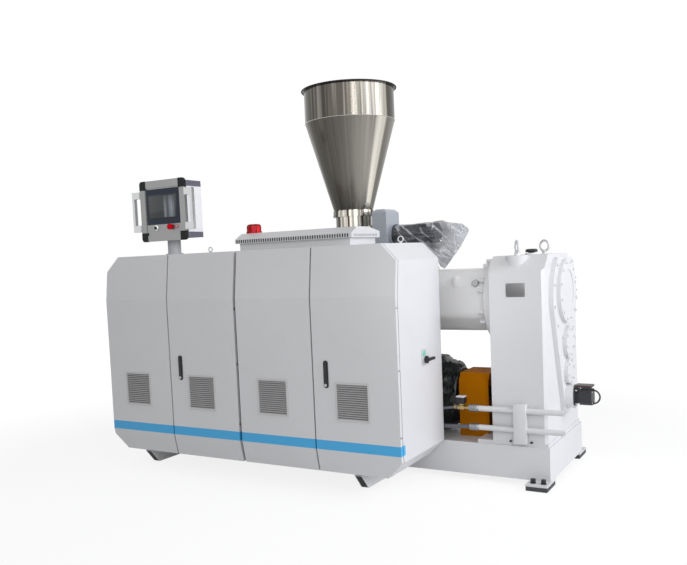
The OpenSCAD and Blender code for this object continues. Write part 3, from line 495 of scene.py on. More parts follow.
def dress_nodes():
    """Gives every solid of the frame its finish."""
    hopper_low, hopper_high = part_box("hopper")
    axis = (hopper_low + hopper_high) / 2
    white = machine_paint("machine_white", PAINT)
    steel = polished_steel("polished_sheet", axis.x, axis.y, hopper_high.z - 0.23,
                           hopper_low.z + 0.03)
    plain = bare_steel("plated_steel", (0.5, 0.5, 0.51))
    black = moulded("black_plastic", (0.012, 0.012, 0.014), 0.35)
    alloy = bare_steel("satin_alloy", (0.66, 0.67, 0.68), 0.3)
    cabinet = cabinet_paint()
    finishes = {
        "base_frame": white, "cabinet_beams": white, "cabinet_frame": cabinet,
        "end_panels": cabinet, "back_panel": cabinet, "roof_vent_box": white,
        "lantern": white, "gearbox": white, "end_cover": white, "bearing_caps": white,
        "water_pipes": white, "barrel_cover": white, "hopper": steel, "hopper_clamp": steel,
        "feed_neck": steel, "lifting_eyes": white, "barrel": plain,
        "panel_post": machine_paint("post_grey", (0.5, 0.51, 0.52), 0.5),
        "panel_case": panel_finish(), "panel_handles": alloy, "breather": black,
        "oil_pump_motor": machine_paint("pump_black", (0.02, 0.022, 0.026), 0.4),
        "foot_pads": moulded("pad_rubber", (0.05, 0.052, 0.056), 0.6),
        "feeder_gear": machine_paint("gear_grey", (0.395, 0.425, 0.47)),
        "feeder_motor": machine_paint("motor_dark", (0.03, 0.032, 0.04)),
        "coupling_guard": machine_paint("guard_orange", (0.48, 0.158, 0.001), 0.55,
                                        Specular_IOR_Level=0.02),
        "drive_motor": moulded("wrap_black", (0.012, 0.014, 0.014), 0.35),
        "water_valve": bare_steel("dull_brass", (0.45, 0.32, 0.14)),
        "water_hoses": moulded("hose_rubber", (0.13, 0.13, 0.15), 0.5),
        "panel_screen": moulded("bezel_blue", (0.012, 0.021, 0.042), 0.2,
                                Specular_IOR_Level=0.3),
        "panel_buttons": moulded("button_red", (0.45, 0.01, 0.012), 0.25),
        "beacon": moulded("beacon_red", (0.55, 0.006, 0.012), 0.15),
        "isolator_plate": moulded("switch_plate", (0.6, 0.6, 0.62), 0.4),
        "isolator_lever": black, "feeder_film": moulded("film", (0.6, 0.6, 0.62), 0.2),
    }
    grille = grille_finish()
    for k in "1234":
        finishes["door_" + k] = cabinet
        finishes["vent_" + k] = grille
    for k in "24":
        finishes["latch_" + k] = black
    for name, material in finishes.items():
        dress(nodes[name], material)


# Modelling helpers

def alone(obj=None):
    """Deselects everything, then picks one object."""
    bpy.ops.object.select_all(action="DESELECT")
    if obj:
        obj.select_set(True)
        bpy.context.view_layer.objects.active = obj


def settle(obj, name):
    """Names a new object and moves its place, turn and size into its mesh."""
    alone(obj)
    obj.name = obj.data.name = name
    bpy.ops.object.transform_apply(location=True, rotation=True, scale=True)
    return obj


def finish_with(obj, kind, **settings):
    """Adds a modifier and applies it."""
    alone(obj)
    modifier = obj.modifiers.new(kind.lower(), kind)
    for key, value in settings.items():
        setattr(modifier, key, value)
    bpy.ops.object.modifier_apply(modifier=modifier.name)
    return obj


def smooth(obj, angle=35):
    """Shades an object smooth across edges flatter than an angle in degrees."""
    alone(obj)
    bpy.ops.object.shade_smooth_by_angle(angle=math.radians(angle))
    return obj


def pick(obj, test, kind="FACE"):
    """In edit mode, selects the faces, edges or corners whose middle passes a test."""
    bpy.ops.mesh.select_mode(type=kind)
    bpy.ops.mesh.select_all(action="DESELECT")
    mesh = bmesh.from_edit_mesh(obj.data)
    parts = {"FACE": mesh.faces, "EDGE": mesh.edges, "VERT": mesh.verts}[kind]
    for part in parts:
        if kind == "VERT":
            chosen = test(part.co, part.normal)
        elif kind == "EDGE":
            a, b = (v.co for v in part.verts)
            chosen = test((a + b) / 2, (b - a).normalized())
        else:
            chosen = test(part.calc_center_median(), part.normal)
        part.select_set(bool(chosen))
    mesh.select_flush_mode()
    bmesh.update_edit_mesh(obj.data)


def edit(obj):
    """Opens an object in edit mode."""
    alone(obj)
    bpy.ops.object.mode_set(mode="EDIT")


def leave():
    """Goes back to object mode."""
    bpy.ops.object.mode_set(mode="OBJECT")


def block(name, low, high, edge=1.0, segments=2):
    """A block between two corners in millimetres, its edges rounded."""
    alone()
    bpy.ops.mesh.primitive_cube_add(size=1, location=(at(*low) + at(*high)) / 2)
    obj = bpy.context.active_object
    obj.scale = at(*high) - at(*low)
    settle(obj, name)
    if edge:
        finish_with(obj, "BEVEL", width=edge / 1000, segments=segments, limit_method="NONE")
    return smooth(obj)


def turned(name, foot, axis, rings, sides=40):
    """A round piece on an axis: rings are its (height, radius) steps from the foot up."""
    alone()
    height, radius = rings[0]
    bpy.ops.mesh.primitive_circle_add(vertices=sides, radius=radius / 1000, fill_type="NGON",
                                      location=(0, 0, height / 1000))
    obj = bpy.context.active_object
    edit(obj)
    bpy.ops.mesh.select_all(action="SELECT")
    for next_height, next_radius in rings[1:]:
        bpy.ops.mesh.extrude_region_move(
            TRANSFORM_OT_translate={"value": (0, 0, (next_height - height) / 1000)})
        scale = next_radius / radius
        bpy.ops.transform.resize(value=(scale, scale, 1), center_override=(0, 0, 0))
        height, radius = next_height, next_radius
    bpy.ops.mesh.select_all(action="SELECT")
    bpy.ops.mesh.normals_make_consistent(inside=False)
    leave()
    obj.matrix_world = Matrix.Translation(at(*foot)) @ Vector(axis).to_track_quat(
        "Z", "Y").to_matrix().to_4x4()
    return smooth(settle(obj, name))


def copies(obj, name, places):
    """The piece repeated at each matrix, joined into one object; the pattern is removed."""
    made = []
    for place in places:
        copy = obj.copy()
        copy.data = obj.data.copy()
        copy.data.transform(place)
        bpy.context.scene.collection.objects.link(copy)
        made.append(copy)
    bpy.data.objects.remove(obj)
    return joined(name, *made)


def joined(name, *objs):
    """Several objects made into one."""
    alone(objs[0])
    for obj in objs:
        obj.select_set(True)
    if len(objs) > 1:
        bpy.ops.object.join()
    obj = bpy.context.active_object
    obj.name = obj.data.name = name
    return obj


def hex_bolts(name, points, axis, across=17, high=9, washer=12):
    """Hexagon heads on washers at points in millimetres, their heads out along the axis."""
    alone()
    bpy.ops.mesh.primitive_cylinder_add(vertices=6, radius=across / 1732, depth=high / 1000,
                                        location=(0, 0, (high / 2 + 2) / 1000))
    head = settle(bpy.context.active_object, name + "_head")
    finish_with(head, "BEVEL", width=0.0008, segments=2, limit_method="ANGLE")
    alone()
    bpy.ops.mesh.primitive_cylinder_add(vertices=20, radius=washer / 1000, depth=0.002,
                                        location=(0, 0, 0.001))
    ring = settle(bpy.context.active_object, name + "_ring")
    finish_with(ring, "BEVEL", width=0.0004, segments=1, limit_method="ANGLE")
    pattern = joined(name, head, ring)
    turn = Vector(axis).to_track_quat("Z", "Y").to_matrix().to_4x4()
    made = copies(pattern, name, [
        Matrix.Translation(at(*p)) @ turn @ Matrix.Rotation(0.7 * i, 4, "Z")
        for i, p in enumerate(points)])
    return smooth(made, 30)


def seat(obj, material, body="machine", replaces=()):
    """Gives a piece its finish and the body it moves with."""
    dress(obj, material)
    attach(obj, body)
    if replaces:
        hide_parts(*replaces)
    return obj


def object_of(name, mesh):
    """Turns a finished bmesh into an object in the scene."""
    data = bpy.data.meshes.new(name)
    mesh.to_mesh(data)
    mesh.free()
    obj = bpy.data.objects.new(name, data)
    bpy.context.scene.collection.objects.link(obj)
    return obj


def circle_points(x, y, z, radius, count, start=0.0, sweep=360.0):
    """Points on a circle square to X, counted from +Y towards +Z."""
    step = sweep / count
    return [(x, y + radius * math.cos(math.radians(start + i * step)),
             z + radius * math.sin(math.radians(start + i * step))) for i in range(count)]


# Cabinet and operator panel

def latch_key(k, steel, black):
    """The key cylinder in a door's latch."""
    low, high = size_of(f"latch_{k}")
    x, z = (low.x + high.x) / 2, low.z + 17
    barrel = turned(f"latch_{k}_key", (x, low.y - 0.2, z), (0, -1, 0),
                    [(-2, 8.4), (1.2, 8.4), (1.6, 7.6), (1.6, 6.2), (0.8, 5.8), (0.8, 5.6)], 28)
    seat(barrel, steel, f"door_{k}")
    slot = block(f"latch_{k}_slot", (x - 1, low.y - 1.2, z - 3.6), (x + 1, low.y, z + 3.6), 0.3)
    seat(slot, black, f"door_{k}")


def front_y(z):
    """Depth of the folded front at a height."""
    if z > TOP_FOLD_Z:
        return TOP_LEAN * (z - TOP_FOLD_Z) / (EAVE_Z - TOP_FOLD_Z)
    return max(0, LOW_LEAN * (LOW_FOLD_Z - z) / (LOW_FOLD_Z - FOOT_Z))


def door_seals(rubber_and_shade_black):
    """Rubber lips in the seams between the doors, folded as the doors are."""
    narrow, wide, inset = (-3, 4, 8, 22), (-9, 9, 25, 31.8), 6
    for k, (left, right, front, back), body in ((1, narrow, "door_2"), (2, wide, "machine"),
                                                (3, narrow, "door_4")):
        name, seam = f"seam_lip_{k}", k * DOOR_W
        mesh = bmesh.new()
        rings = [[mesh.verts.new(at(seam + x, y + front_y(z), z))
                  for x, y in ((left, front), (right, front), (right, back), (left, back))]
                 for z in (FOOT_Z + inset, LOW_FOLD_Z, TOP_FOLD_Z, EAVE_Z - inset)]
        for a, b in zip(rings, rings[1:]):
            for i in range(4):
                j = (i + 1) % 4
                mesh.faces.new((a[i], a[j], b[j], b[i]))
        mesh.faces.new(rings[0][::-1])
        mesh.faces.new(rings[-1])
        lip = object_of(name, mesh)
        finish_with(lip, "BEVEL", width=0.0015, segments=2, limit_method="ANGLE")
        seat(smooth(lip), rubber_and_shade_black, body)


def corner_caps(black):
    """The moulded corners of the operator panel's frame, drawn in towards the back."""
    low, high = size_of("panel_case")
    front, deep = low.y, low.y + 15
    cap_w, cap_h, proud, corner_r = 54, 60, 1.4, 22
    for side, x_out, x_in in (("left", low.x - proud, low.x + cap_w),
                              ("right", high.x + proud, high.x - cap_w)):
        for level, z_out, z_in in (("low", low.z - proud, low.z + cap_h),
                                   ("top", high.z + proud, high.z - cap_h)):
            cap = block(f"panel_cap_{side}_{level}",
                        (min(x_out, x_in), front - proud, min(z_out, z_in)),
                        (max(x_out, x_in), deep, max(z_out, z_in)), 0)
            edit(cap)
            corner = at(x_out, 0, z_out)
            pick(cap, lambda m, d: abs(d.y) > 0.9 and abs(m.x - corner.x) < 1e-4
                 and abs(m.z - corner.z) < 1e-4, "EDGE")
            bpy.ops.mesh.bevel(offset=corner_r / 1000, segments=10)
            pick(cap, lambda m, n: n.y > 0.9)
            bpy.ops.mesh.extrude_region_move(TRANSFORM_OT_translate={"value": (0, 0.014, 0)})
            bpy.ops.transform.resize(value=(0.86, 1, 0.87), center_override=at(x_in, deep, z_in))
            leave()
            finish_with(cap, "BEVEL", width=0.0012, segments=2, limit_method="ANGLE",
                        angle_limit=0.6)
            seat(smooth(cap), black)


def window(glass, rim):
    """The dark glass of the screen in its bezel."""
    low, high = size_of("panel_screen")
    face = low.y
    pane = block("screen_glass", (low.x + 27, face - 0.8, low.z + 45),
                 (high.x - 26, face + 2, high.z - 47), 0.5)
    seat(pane, glass)
    edge = block("screen_edge", (low.x + 18, face - 0.5, low.z + 36),
                 (high.x - 17, face + 2, high.z - 38), 0.4)
    seat(edge, rim)


def knobs(red, black, steel, pale):
    """A stop button, a selector and a lamp under the screen."""
    low, high = size_of("panel_case")
    face = low.y + 5
    width = high.x - low.x
    stop_x, select_x, lamp_x = (low.x + part * width for part in (0.662, 0.32, 0.785))
    row_z = low.z + 92
    stop = turned("stop_button", (stop_x, face, row_z), (0, -1, 0),
                  [(0, 17), (4, 17), (5, 16), (5, 11), (13, 11), (14, 17), (17, 19.4), (21, 19.6),
                   (25, 18), (27.5, 13), (28.5, 6), (28.8, 1)], 40)
    seat(stop, red, replaces=["panel_buttons"])
    collar = turned("selector_ring", (select_x, face, row_z - 2), (0, -1, 0),
                    [(0, 19), (3, 19), (5, 17), (6, 13), (5, 11)], 36)
    seat(collar, steel)
    grip = turned("selector_knob", (select_x, face - 4, row_z - 2), (0, -1, 0),
                  [(0, 10.5), (7, 10), (8, 9), (8.4, 8)], 32)
    bar = block("selector_bar", (select_x - 3.2, face - 17.5, row_z - 12.5),
                (select_x + 3.2, face - 11, row_z + 8.5), 1.4)
    seat(joined("selector_knob", grip, bar), black)
    lens = turned("signal_lamp", (lamp_x, face, row_z), (0, -1, 0),
                  [(0, 14), (3, 14), (3.6, 13), (3.6, 11.6), (8, 11.2), (10, 9.6), (11, 6),
                   (11.4, 1)], 36)
    seat(lens, pale)


def beacon_lens(red):
    """The fluted red lens of the warning beacon."""
    low, high = size_of("beacon")
    x, y = (low.x + high.x) / 2, (low.y + high.y) / 2
    r, h = (high.x - low.x) / 2, high.z - low.z
    lens = turned("beacon_lens", (x, y, low.z), (0, 0, 1),
                  [(0, r - 1), (2, r), (10, r), (12, r - 1), (12.5, r - 4), (20, r - 4),
                   (h - 22, r - 4), (h - 14, r - 5), (h - 7, r - 8), (h - 2, r - 14),
                   (h - 0.4, r - 24), (h, 4)], 96)
    flutes, depth, rim_h, crown_r = 24, 0.0011, 12.2, 0.03
    for v in lens.data.vertices:
        if v.co.z > at(x, y, low.z + rim_h).z:
            out = (v.co - at(x, y, 0)) * Vector((1, 1, 0))
            wave = math.cos(flutes * math.atan2(out.y, out.x))
            if out.length > crown_r:
                v.co += out.normalized() * depth * (wave - 1)
    seat(smooth(lens, 50), red, replaces=["beacon"])


def switch_dial(green):
    """The green half of the isolator's dial, over its lever."""
    low, high = size_of("isolator_plate")
    y, z = (low.y + high.y) / 2, low.z + 34
    dial = turned("isolator_dial", (low.x + 2.8, y, z + 30), (1, 0, 0),
                  [(0, 20), (1.2, 20), (1.8, 19.3)], 36)
    edit(dial)
    pick(dial, lambda m, n: True)
    bpy.ops.transform.resize(value=(1, 1, 1.25), center_override=at(low.x, y, z + 30))
    leave()
    seat(dial, green)


def vent_plug(black, white):
    """The gearbox's breather: a black cap on a white disc."""
    low, high = size_of("breather")
    x, y, z = (low.x + high.x) / 2, (low.y + high.y) / 2, low.z
    disc = turned("breather_disc", (x, y, z), (0, 0, 1),
                  [(0, 42), (8, 42), (10, 40), (10.2, 20)], 48)
    seat(disc, white)
    cap = turned("breather_cap", (x, y, z), (0, 0, 1),
                 [(9, 19), (22, 19), (24, 36), (27, 38), (37, 38), (43, 33), (45, 20), (45.4, 2)],
                 48)
    seat(cap, black, replaces=["breather"])


def beam_shade_plugs(black):
    """Painted shade: dark plugs inside the two hollow cross beams, just behind their sloping mouths,
    standing for the shade in their insides.
    """
    low, high = size_of("cabinet_beams")
    wall, inset = 4.2, 0.8
    mouth_top, near_y, far_y, back_y = 133, 38, 119, 200
    slope = (far_y - near_y) / (mouth_top - low.z)
    shade_plugs = []
    for x in (low.x, high.x - BEAM_W):
        plug = block("beam_shade_plug", (x + wall, near_y, low.z + wall),
                     (x + BEAM_W - wall, back_y, mouth_top - 5), 0)
        for v in plug.data.vertices:
            if v.co.y < at(0, far_y, 0).y:
                v.co.y = at(0, near_y + (mouth_top - v.co.z * 1000) * slope + inset, 0).y
        shade_plugs.append(plug)
    seat(joined("beam_shade_plugs", *shade_plugs), black)


def back_screws(steel):
    """Screws round the rear panel."""
    low, high = size_of("back_panel")
    xs = [low.x + 130 + i * (high.x - low.x - 260) / 7 for i in range(8)]
    points = [(x, high.y, z) for x in xs for z in (low.z + 26, high.z - 26)]
    points += [(x, high.y, low.z + 130 + i * 270) for x in (low.x + 24, high.x - 24)
               for i in range(5)]
    seat(hex_bolts("back_screws", points, (0, 1, 0), 9, 4, 8), steel)


def vent_slot_shade(black):
    """Painted shade: dark inserts in the roof ventilator's front slots, and a dark block behind the
    slots of its end, standing for the shade inside the slots.
    """
    low, high = size_of("roof_vent_box")
    z0, z1 = low.z + 50, low.z + 72
    count, width, proud = 48, 8.8, 0.6
    shade_blocks = [block("vent_end_slot_shade", (high.x - 13, low.y + 28, z0), (high.x - 4, high.y - 28, z1),
                   0.5)]
    for i in range(count):
        x = low.x + 16 + i * (high.x - low.x - 24) / count
        shade_blocks.append(block("vent_slot_shade_insert", (x - width / 2, low.y - proud, z0 + 0.5),
                           (x + width / 2, low.y + 12, z1 - 0.5), 0))
    seat(joined("vent_slot_shade", *shade_blocks), black)


# Hopper and feeder

def hopper_beads(steel, rubber_and_shade_black):
    """The hopper's polished round weld and a dark ring round its rim."""
    low, high = size_of("hopper")
    x, y = (low.x + high.x) / 2, (low.y + high.y) / 2
    r = (high.x - low.x) / 2 - 14
    for name, z, ring_r, bead_r, material, slot in (
            ("hopper_seam", high.z - 230, r + 0.2, 2.2, steel, "stainless"),
            ("hopper_edge", high.z - 4, r + 15, 5.2, rubber_and_shade_black, "rubber_pad")):
        alone()
        bpy.ops.mesh.primitive_torus_add(location=at(x, y, z), major_radius=ring_r / 1000,
                                         minor_radius=bead_r / 1000, major_segments=120,
                                         minor_segments=10)
        seat(smooth(settle(bpy.context.active_object, name)), material)


# Gearbox and lantern

def lantern_housing(white, grey):
    """The coupling housing: an eight-sided trunk with its flange, an oval boss and a plug."""
    low, high = size_of("lantern")
    y, z, half = AXIS_Y, AXIS_Z, 200
    flange_x = high.x - LANTERN_FLANGE_L
    boss_x, plug_x = 2271, 2405
    top_cut, low_cut, rounding = 0.084, 0.102, 0.026
    trunk = block("lantern_trunk", (low.x, y - half, z - half), (flange_x + 4, y + half, z + half),
                  0)
    middle = at(0, y, z).z
    edit(trunk)
    pick(trunk, lambda m, d: abs(d.x) > 0.9 and m.z > middle, "EDGE")
    bpy.ops.mesh.bevel(offset=top_cut, segments=1)
    pick(trunk, lambda m, d: abs(d.x) > 0.9 and m.z < middle - 0.15, "EDGE")
    bpy.ops.mesh.bevel(offset=low_cut, segments=1)
    pick(trunk, lambda m, d: abs(d.x) > 0.9, "EDGE")
    bpy.ops.mesh.bevel(offset=rounding, segments=5)
    leave()
    flange = turned("lantern_flange", (flange_x, y, z), (1, 0, 0),
                    [(0, 264), (2, 269), (7, 274), (14, 276), (LANTERN_FLANGE_L, 276)], 96)
    boss = turned("lantern_boss", (boss_x, y - half + 54, z + 124), (0, -1, 0),
                  [(0, 37), (58, 37), (61, 36), (63, 33)], 48)
    edit(boss)
    pick(boss, lambda m, n: True)
    bpy.ops.transform.resize(value=(0.66, 1, 1), center_override=at(boss_x, y, z))
    leave()
    seat(joined("lantern_housing", smooth(trunk), flange, boss), white, replaces=["lantern"])
    plug = turned("lantern_plug", (plug_x, y - half + 24, z + 112), (0, -1, 0),
                  [(0, 24), (40, 24), (43, 21)], 6)
    seat(plug, grey)


def fasteners(white):
    """Bolt heads on the lantern's flange, the end cover and the bearing caps."""
    cover_x = size_of("end_cover")[1].x
    cap_face = cover_x + 24
    flange_x = size_of("lantern")[1].x - LANTERN_FLANGE_L
    bolt_circle, seen_below = 254, 170
    turns = [quarter + step for quarter in (0, 90, 180, 270) for step in (15.5, 31, 59, 74.5)]
    ring = [circle_points(flange_x, AXIS_Y, AXIS_Z, bolt_circle, 1, turn)[0] for turn in turns]
    ring = [point for point in ring if point[2] > AXIS_Z - seen_below]
    seat(hex_bolts("lantern_bolts", ring, (-1, 0, 0), 27, 32, 17), white)
    rim = circle_points(cover_x, AXIS_Y, AXIS_Z + 20, 270, 14, -8, 400)
    seat(hex_bolts("cover_bolts", [p for p in rim if p[2] < AXIS_Z + 245], (1, 0, 0), 15, 8, 10),
         white)
    for name, y, z, r, n in (("cap_top", AXIS_Y - 18, AXIS_Z + 48, 178, 12),
                             ("cap_mid", AXIS_Y, AXIS_Z - 270, 84, 8),
                             ("cap_low", AXIS_Y, AXIS_Z - 456, 68, 6)):
        seat(hex_bolts(name + "_bolts", circle_points(cap_face, y, z, r, n, 15), (1, 0, 0),
                       13, 7, 8.5), white)


def rating_plate(metal, steel):
    """A bare metal plate on the gearbox, held by four rivets."""
    gear_low = size_of("gearbox")[0]
    x0, z0, w, h = gear_low.x + 104, 1133, 115, 82
    face = gear_low.y
    plate = block("rating_plate", (x0, face - 1.6, z0), (x0 + w, face + 1, z0 + h), 0.5)
    seat(plate, metal)
    rivets = []
    for i in (0, 1):
        for j in (0, 1):
            rivets.append(turned(f"rivet_{i}{j}", (x0 + 6 + i * (w - 12), face - 1.4,
                                                   z0 + 6 + j * (h - 12)), (0, -1, 0),
                                 [(0, 2.6), (0.8, 2.4), (1.4, 1.4), (1.6, 0.3)], 16))
    seat(joined("plate_rivets", *rivets), steel)


# Films

def lofted(name, stations, sides, point, closed_end=False):
    """A film swept through stations along X, open along its foot."""
    mesh = bmesh.new()
    rings = [[mesh.verts.new(at(*point(s, 2 * math.pi * i / sides))) for i in range(sides)]
             for s in stations]
    for a, b in zip(rings, rings[1:]):
        for i in range(sides):
            j = (i + 1) % sides
            if i != sides // 2:
                mesh.faces.new((a[i], b[i], b[j], a[j]))
    if closed_end:
        mesh.faces.new(rings[-1][::-1])
    return object_of(name, mesh)


def between(rows, x):
    """The row at x, on straight lines between rows of (x, a, b, ...)."""
    for first, last in zip(rows, rows[1:]):
        if first[0] <= x <= last[0]:
            t = (x - first[0]) / (last[0] - first[0])
            return [a + (b - a) * t for a, b in zip(first, last)]
    return list(rows[-1] if x > rows[-1][0] else rows[0])


def crumple(obj, amount, scale, seed, keep=None):
    """Pushes a film in and out in sharp ridges, as stiff plastic creases."""
    normals = [v.normal.copy() for v in obj.data.vertices]
    shift = Vector((seed * 3.7, seed * 1.9, seed * 5.3))
    for v, n in zip(obj.data.vertices, normals):
        p = v.co * scale + shift
        ridge = 1 - abs(noise.noise(p)) * 2.2
        fine = 1 - abs(noise.noise(p * 2.7 + shift)) * 2.2
        held = keep(v.co) if keep else 1.0
        v.co += n * held * amount * (ridge * 0.65 + fine * 0.35 - 0.5) / 1000


def pleat(angle, folds, shift):
    """Height of a fan of sharp folds at an angle about their gathering point."""
    turn = angle * folds + 1.3 * noise.noise(Vector((angle * 2.1, shift, 0.5)))
    return abs(turn - math.floor(turn) - 0.5) * 2


def film_bag(film):
    """The clear bag pulled over the feeder's motor, its corner hanging past the end."""
    # Along the machine: place, top, bottom, half width, how far the foot is pinched
    outline = [(1783, 1621, 1470, 84, 0.0), (1830, 1620, 1447, 92, 0.05),
               (1900, 1620, 1420, 100, 0.1), (2000, 1624, 1396, 104, 0.25),
               (2068, 1627, 1374, 100, 0.4), (2090, 1627, 1325, 94, 0.6),
               (2118, 1628, 1304, 84, 0.8), (2150, 1615, 1345, 72, 0.8),
               (2200, 1607, 1408, 56, 0.7), (2250, 1597, 1470, 38, 0.5),
               (2280, 1578, 1528, 22, 0.2), (2288, 1567, 1540, 12, 0.0)]
    start, end, steps = outline[0][0], outline[-1][0], 90
    stations = [between(outline, start + (end - start) * i / steps) for i in range(steps + 1)]

    def point(station, turn):
        x, top, bottom, half, pinch = station
        s = (1 - math.cos(turn)) / 2
        wide = half * math.copysign(abs(math.sin(turn)) ** 0.8, math.sin(turn))
        z = (top + bottom) / 2 + (top - bottom) / 2 * math.cos(turn)
        y = AXIS_Y + wide * (1 - pinch * s ** 1.4)
        depth = math.sin(turn) ** 2
        for cx, cz, folds, size, side in ((1925, 1612, 1.9, 15, 0.0), (2296, 1560, 2.3, 12, 3.0)):
            away = math.hypot(x - cx, z - cz)
            fold = pleat(math.atan2(z - cz, x - cx) + side, folds, cx * 0.01 + math.sin(turn))
            y += math.copysign((fold - 0.5) * size * min(1.0, away / 170) * depth, y - AXIS_Y)
        return x, y, z

    bag = lofted("feeder_film_bag", stations, 84, point)
    crumple(bag, 7, 8.0, 1, lambda c: min(1.0, max(0.1, (c.x - at(1800, 0, 0).x) * 7)))
    finish_with(bag, "DECIMATE", ratio=0.22)
    smooth(bag, 11)
    seat(bag, film, replaces=["feeder_film"])


def motor_wrap(black):
    """The black film tied round the drive motor, in deep hoops and creases."""
    low, high = size_of("drive_motor")
    axis_y, r, floor_z = (low.y + high.y) / 2, 235, 262
    x0, x1 = low.x, size_of("coupling_guard")[0].x - 20
    outline = [(x0, 0.5), (x0 + 25, 0.9), (x0 + 60, 1.0), (x1 - 125, 1.02), (x1 - 95, 0.97),
               (x1 - 50, 0.89), (x1 - 12, 0.76), (x1, 0.5)]
    stations = [(x0 + (x1 - x0) * i / 100,) for i in range(101)]

    def point(station, turn):
        x = station[0]
        around = r * between(outline, x)[1]
        hoop = abs(math.sin(x / 9.0 + 1.2 * math.sin(turn * 2 + 0.5))) ** 0.6
        lump = max(0.0, math.sin(x / 21.0 + 2.0 * math.sin(turn + 0.8)))
        out = around + 7 * hoop + 9 * lump - 8
        y = axis_y + out * math.sin(turn)
        z = DRIVE_Z + out * math.cos(turn)
        return x, y, max(z, floor_z + 3 * math.sin(x / 13))

    wrap = lofted("drive_motor_wrap", stations, 120, point, True)
    crumple(wrap, 15, 11.0, 3)
    finish_with(wrap, "DECIMATE", ratio=0.45)
    smooth(wrap, 24)
    seat(wrap, black)


# Pipes, valve and pump

def water_lines(white, grey):
    """The two water pipes with their bracket, and the ribbed couplings on their ends."""
    low, high = size_of("water_pipes")
    y, pipe_x, outer, inner, bore_l = PIPE_Y, COUPLING_X + 50, 17, 13, 60
    length = high.x - pipe_x
    pipes, ends = [], []
    for z in (LOW_PIPE_Z, TOP_PIPE_Z):
        pipes.append(turned(f"pipe_{z}", (pipe_x, y, z), (1, 0, 0),
                            [(0, outer), (length - 0.6, outer), (length, outer - 0.6),
                             (length, inner), (length - bore_l, inner)], 36))
        ends.append(turned(f"coupling_{z}", (COUPLING_X - 4, y, z), (1, 0, 0),
                           [(0, outer), (0.5, 20), (3, 22.5), (12, 22.5), (13, 21), (15, 21),
                            (16, 22.5), (34, 22.5), (35, 21), (37, 21), (38, 23), (56, 23),
                            (58, 21.5), (62, 18)], 36))
    clip_x = size_of("gearbox")[0].x + 143
    pipes.append(block("pipe_bracket", (clip_x, y - 27, low.z + 0.5), (clip_x + 76, y + 23, high.z),
                       1.5))
    seat(joined("water_lines", *pipes), white, replaces=["water_pipes"])
    seat(joined("pipe_couplings", *ends), grey)


def valve(brass, black, white):
    """A brass solenoid valve on the upper line."""
    x, y, z = COUPLING_X - 100, PIPE_Y, TOP_PIPE_Z
    body = turned("valve_body", (x, y, z), (1, 0, 0),
                  [(0, 12), (1, 14.5), (14, 14.5), (15, 12), (22, 12), (23, 17), (28, 20),
                   (62, 20), (68, 17), (69, 12), (80, 12), (81, 15.5), (96, 15.5), (98, 12.5),
                   (100, 12.4)], 6)
    neck = turned("valve_neck", (x + 45, y, z + 14), (0, 0, 1),
                  [(0, 17), (8, 17), (9, 15), (12, 15)], 24)
    seat(joined("valve_body", body, neck), brass, replaces=["water_valve"])
    coil = block("valve_coil", (x + 20, y - 23, z + 24), (x + 72, y + 23, z + 64), 4, 3)
    seat(coil, black)
    lid = block("valve_coil_lid", (x + 18, y - 24, z + 64), (x + 73, y + 24, z + 71.5), 2.5, 2)
    seat(lid, white)


def pump_details(brown, steel):
    """Screws on the oil pump motor's flange and end, and the lid on its top."""
    x0, y, z, half = size_of("oil_pump_motor")[0].x, AXIS_Y, DRIVE_Z, 48
    corners = [(x0 + 12, y + i * 41, z + j * 41) for i in (-1, 1) for j in (-1, 1)]
    seat(hex_bolts("pump_flange_bolts", corners, (1, 0, 0), 10, 9, 7), steel)
    end = x0 + 108
    ends = [(end, y + i * 34, z + j * 34) for i in (-1, 1) for j in (-1, 1)]
    seat(hex_bolts("pump_end_screws", ends, (1, 0, 0), 7, 4, 5), steel)
    top = z + half + 26
    lid = block("pump_lid", (x0 + 6, y - 42, top - 14), (end, y + 42, top - 0.5), 2.5, 2)
    seat(lid, brown)


# Feet and seat

def base_bolts(black):
    """Anchor bolts in the feet and hold-down bolts on the gearbox's seat."""
    low, high = size_of("base_frame")
    anchors = [(x + i * 31, y, 37) for x in (low.x + 65, high.x - 65)
               for y in (low.y + 49, high.y - 49) for i in (-1, 1)]
    seat(hex_bolts("anchor_bolts", anchors, (0, 0, 1), 27, 24, 18), black)
    gear_low = size_of("gearbox")[0]
    edge = [(gear_low.x - 50, y, gear_low.z) for y in (900, 1160, 1350)]
    seat(hex_bolts("seat_bolts", edge, (0, 0, 1), 24, 14, 17), black)
    clip = [(gear_low.x + away, gear_low.y - 7, gear_low.z) for away in (112, 238)]
    seat(hex_bolts("clip_bolts", clip, (0, 0, 1), 14, 8, 7), black)


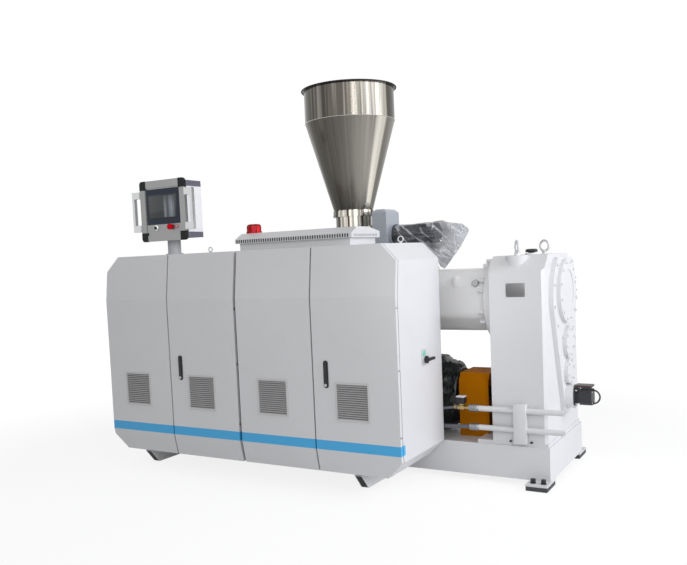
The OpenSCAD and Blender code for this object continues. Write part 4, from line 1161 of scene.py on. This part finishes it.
photo_camera()
studio()
dress_nodes()

white = machine_paint("fitting_white", PAINT)
black = moulded("fitting_black", (0.012, 0.012, 0.014), 0.35)
steel = bare_steel("fitting_steel", (0.55, 0.55, 0.56))
red = moulded("glossy_red", (0.64, 0.004, 0.012), 0.2, Specular_IOR_Level=0.05)
# Black rubber for the door seals and the hopper's dark rim ring, also used as painted shade in the
# beams' mouths and the ventilator's slots
rubber_and_shade_black = moulded("rubber_and_painted_shade", (0.012, 0.012, 0.013), 0.5, Specular_IOR_Level=0.3)
latch_key(2, steel, black)
latch_key(4, steel, black)
corner_caps(moulded("cap_black", (0.012, 0.014, 0.015), 0.4, Specular_IOR_Level=0.2))
window(screen_finish(), moulded("glass_rim", (0.008, 0.01, 0.016), 0.25))
knobs(red, black, bare_steel("chrome", (0.85, 0.85, 0.86), 0.18),
      moulded("lamp_pink", (0.5, 0.26, 0.26), 0.2))
beacon_lens(beacon_finish())
hopper_beads(bare_steel("bead_steel", (0.6, 0.58, 0.54), 0.22), rubber_and_shade_black)
vent_plug(black, white)
switch_dial(moulded("dial_green", (0.16, 0.6, 0.42), 0.35))
door_seals(rubber_and_shade_black)
back_screws(steel)
beam_shade_plugs(rubber_and_shade_black)
vent_slot_shade(rubber_and_shade_black)
# The lantern gets the machine white made lighter, as painted light against the shade it stands in
lantern_housing(machine_paint("lantern_white_lightened", (0.82, 0.82, 0.82)),
                bare_steel("plug_grey", (0.45, 0.45, 0.45), 0.45))
fasteners(white)
rating_plate(bare_steel("plate_grey", (0.2, 0.2, 0.205), 0.45), steel)
film_bag(clear_film())
motor_wrap(moulded("wrap_film", (0.01, 0.012, 0.013), 0.3, Specular_IOR_Level=0.2))
water_lines(white, bare_steel("coupling_grey", (0.3, 0.31, 0.32), 0.4))
valve(bare_steel("valve_brass", (0.5, 0.36, 0.16), 0.3), black, white)
pump_details(machine_paint("lid_brown", (0.045, 0.022, 0.015)), steel)
base_bolts(black)

view = bpy.context.scene.view_settings
view.view_transform = "Standard"
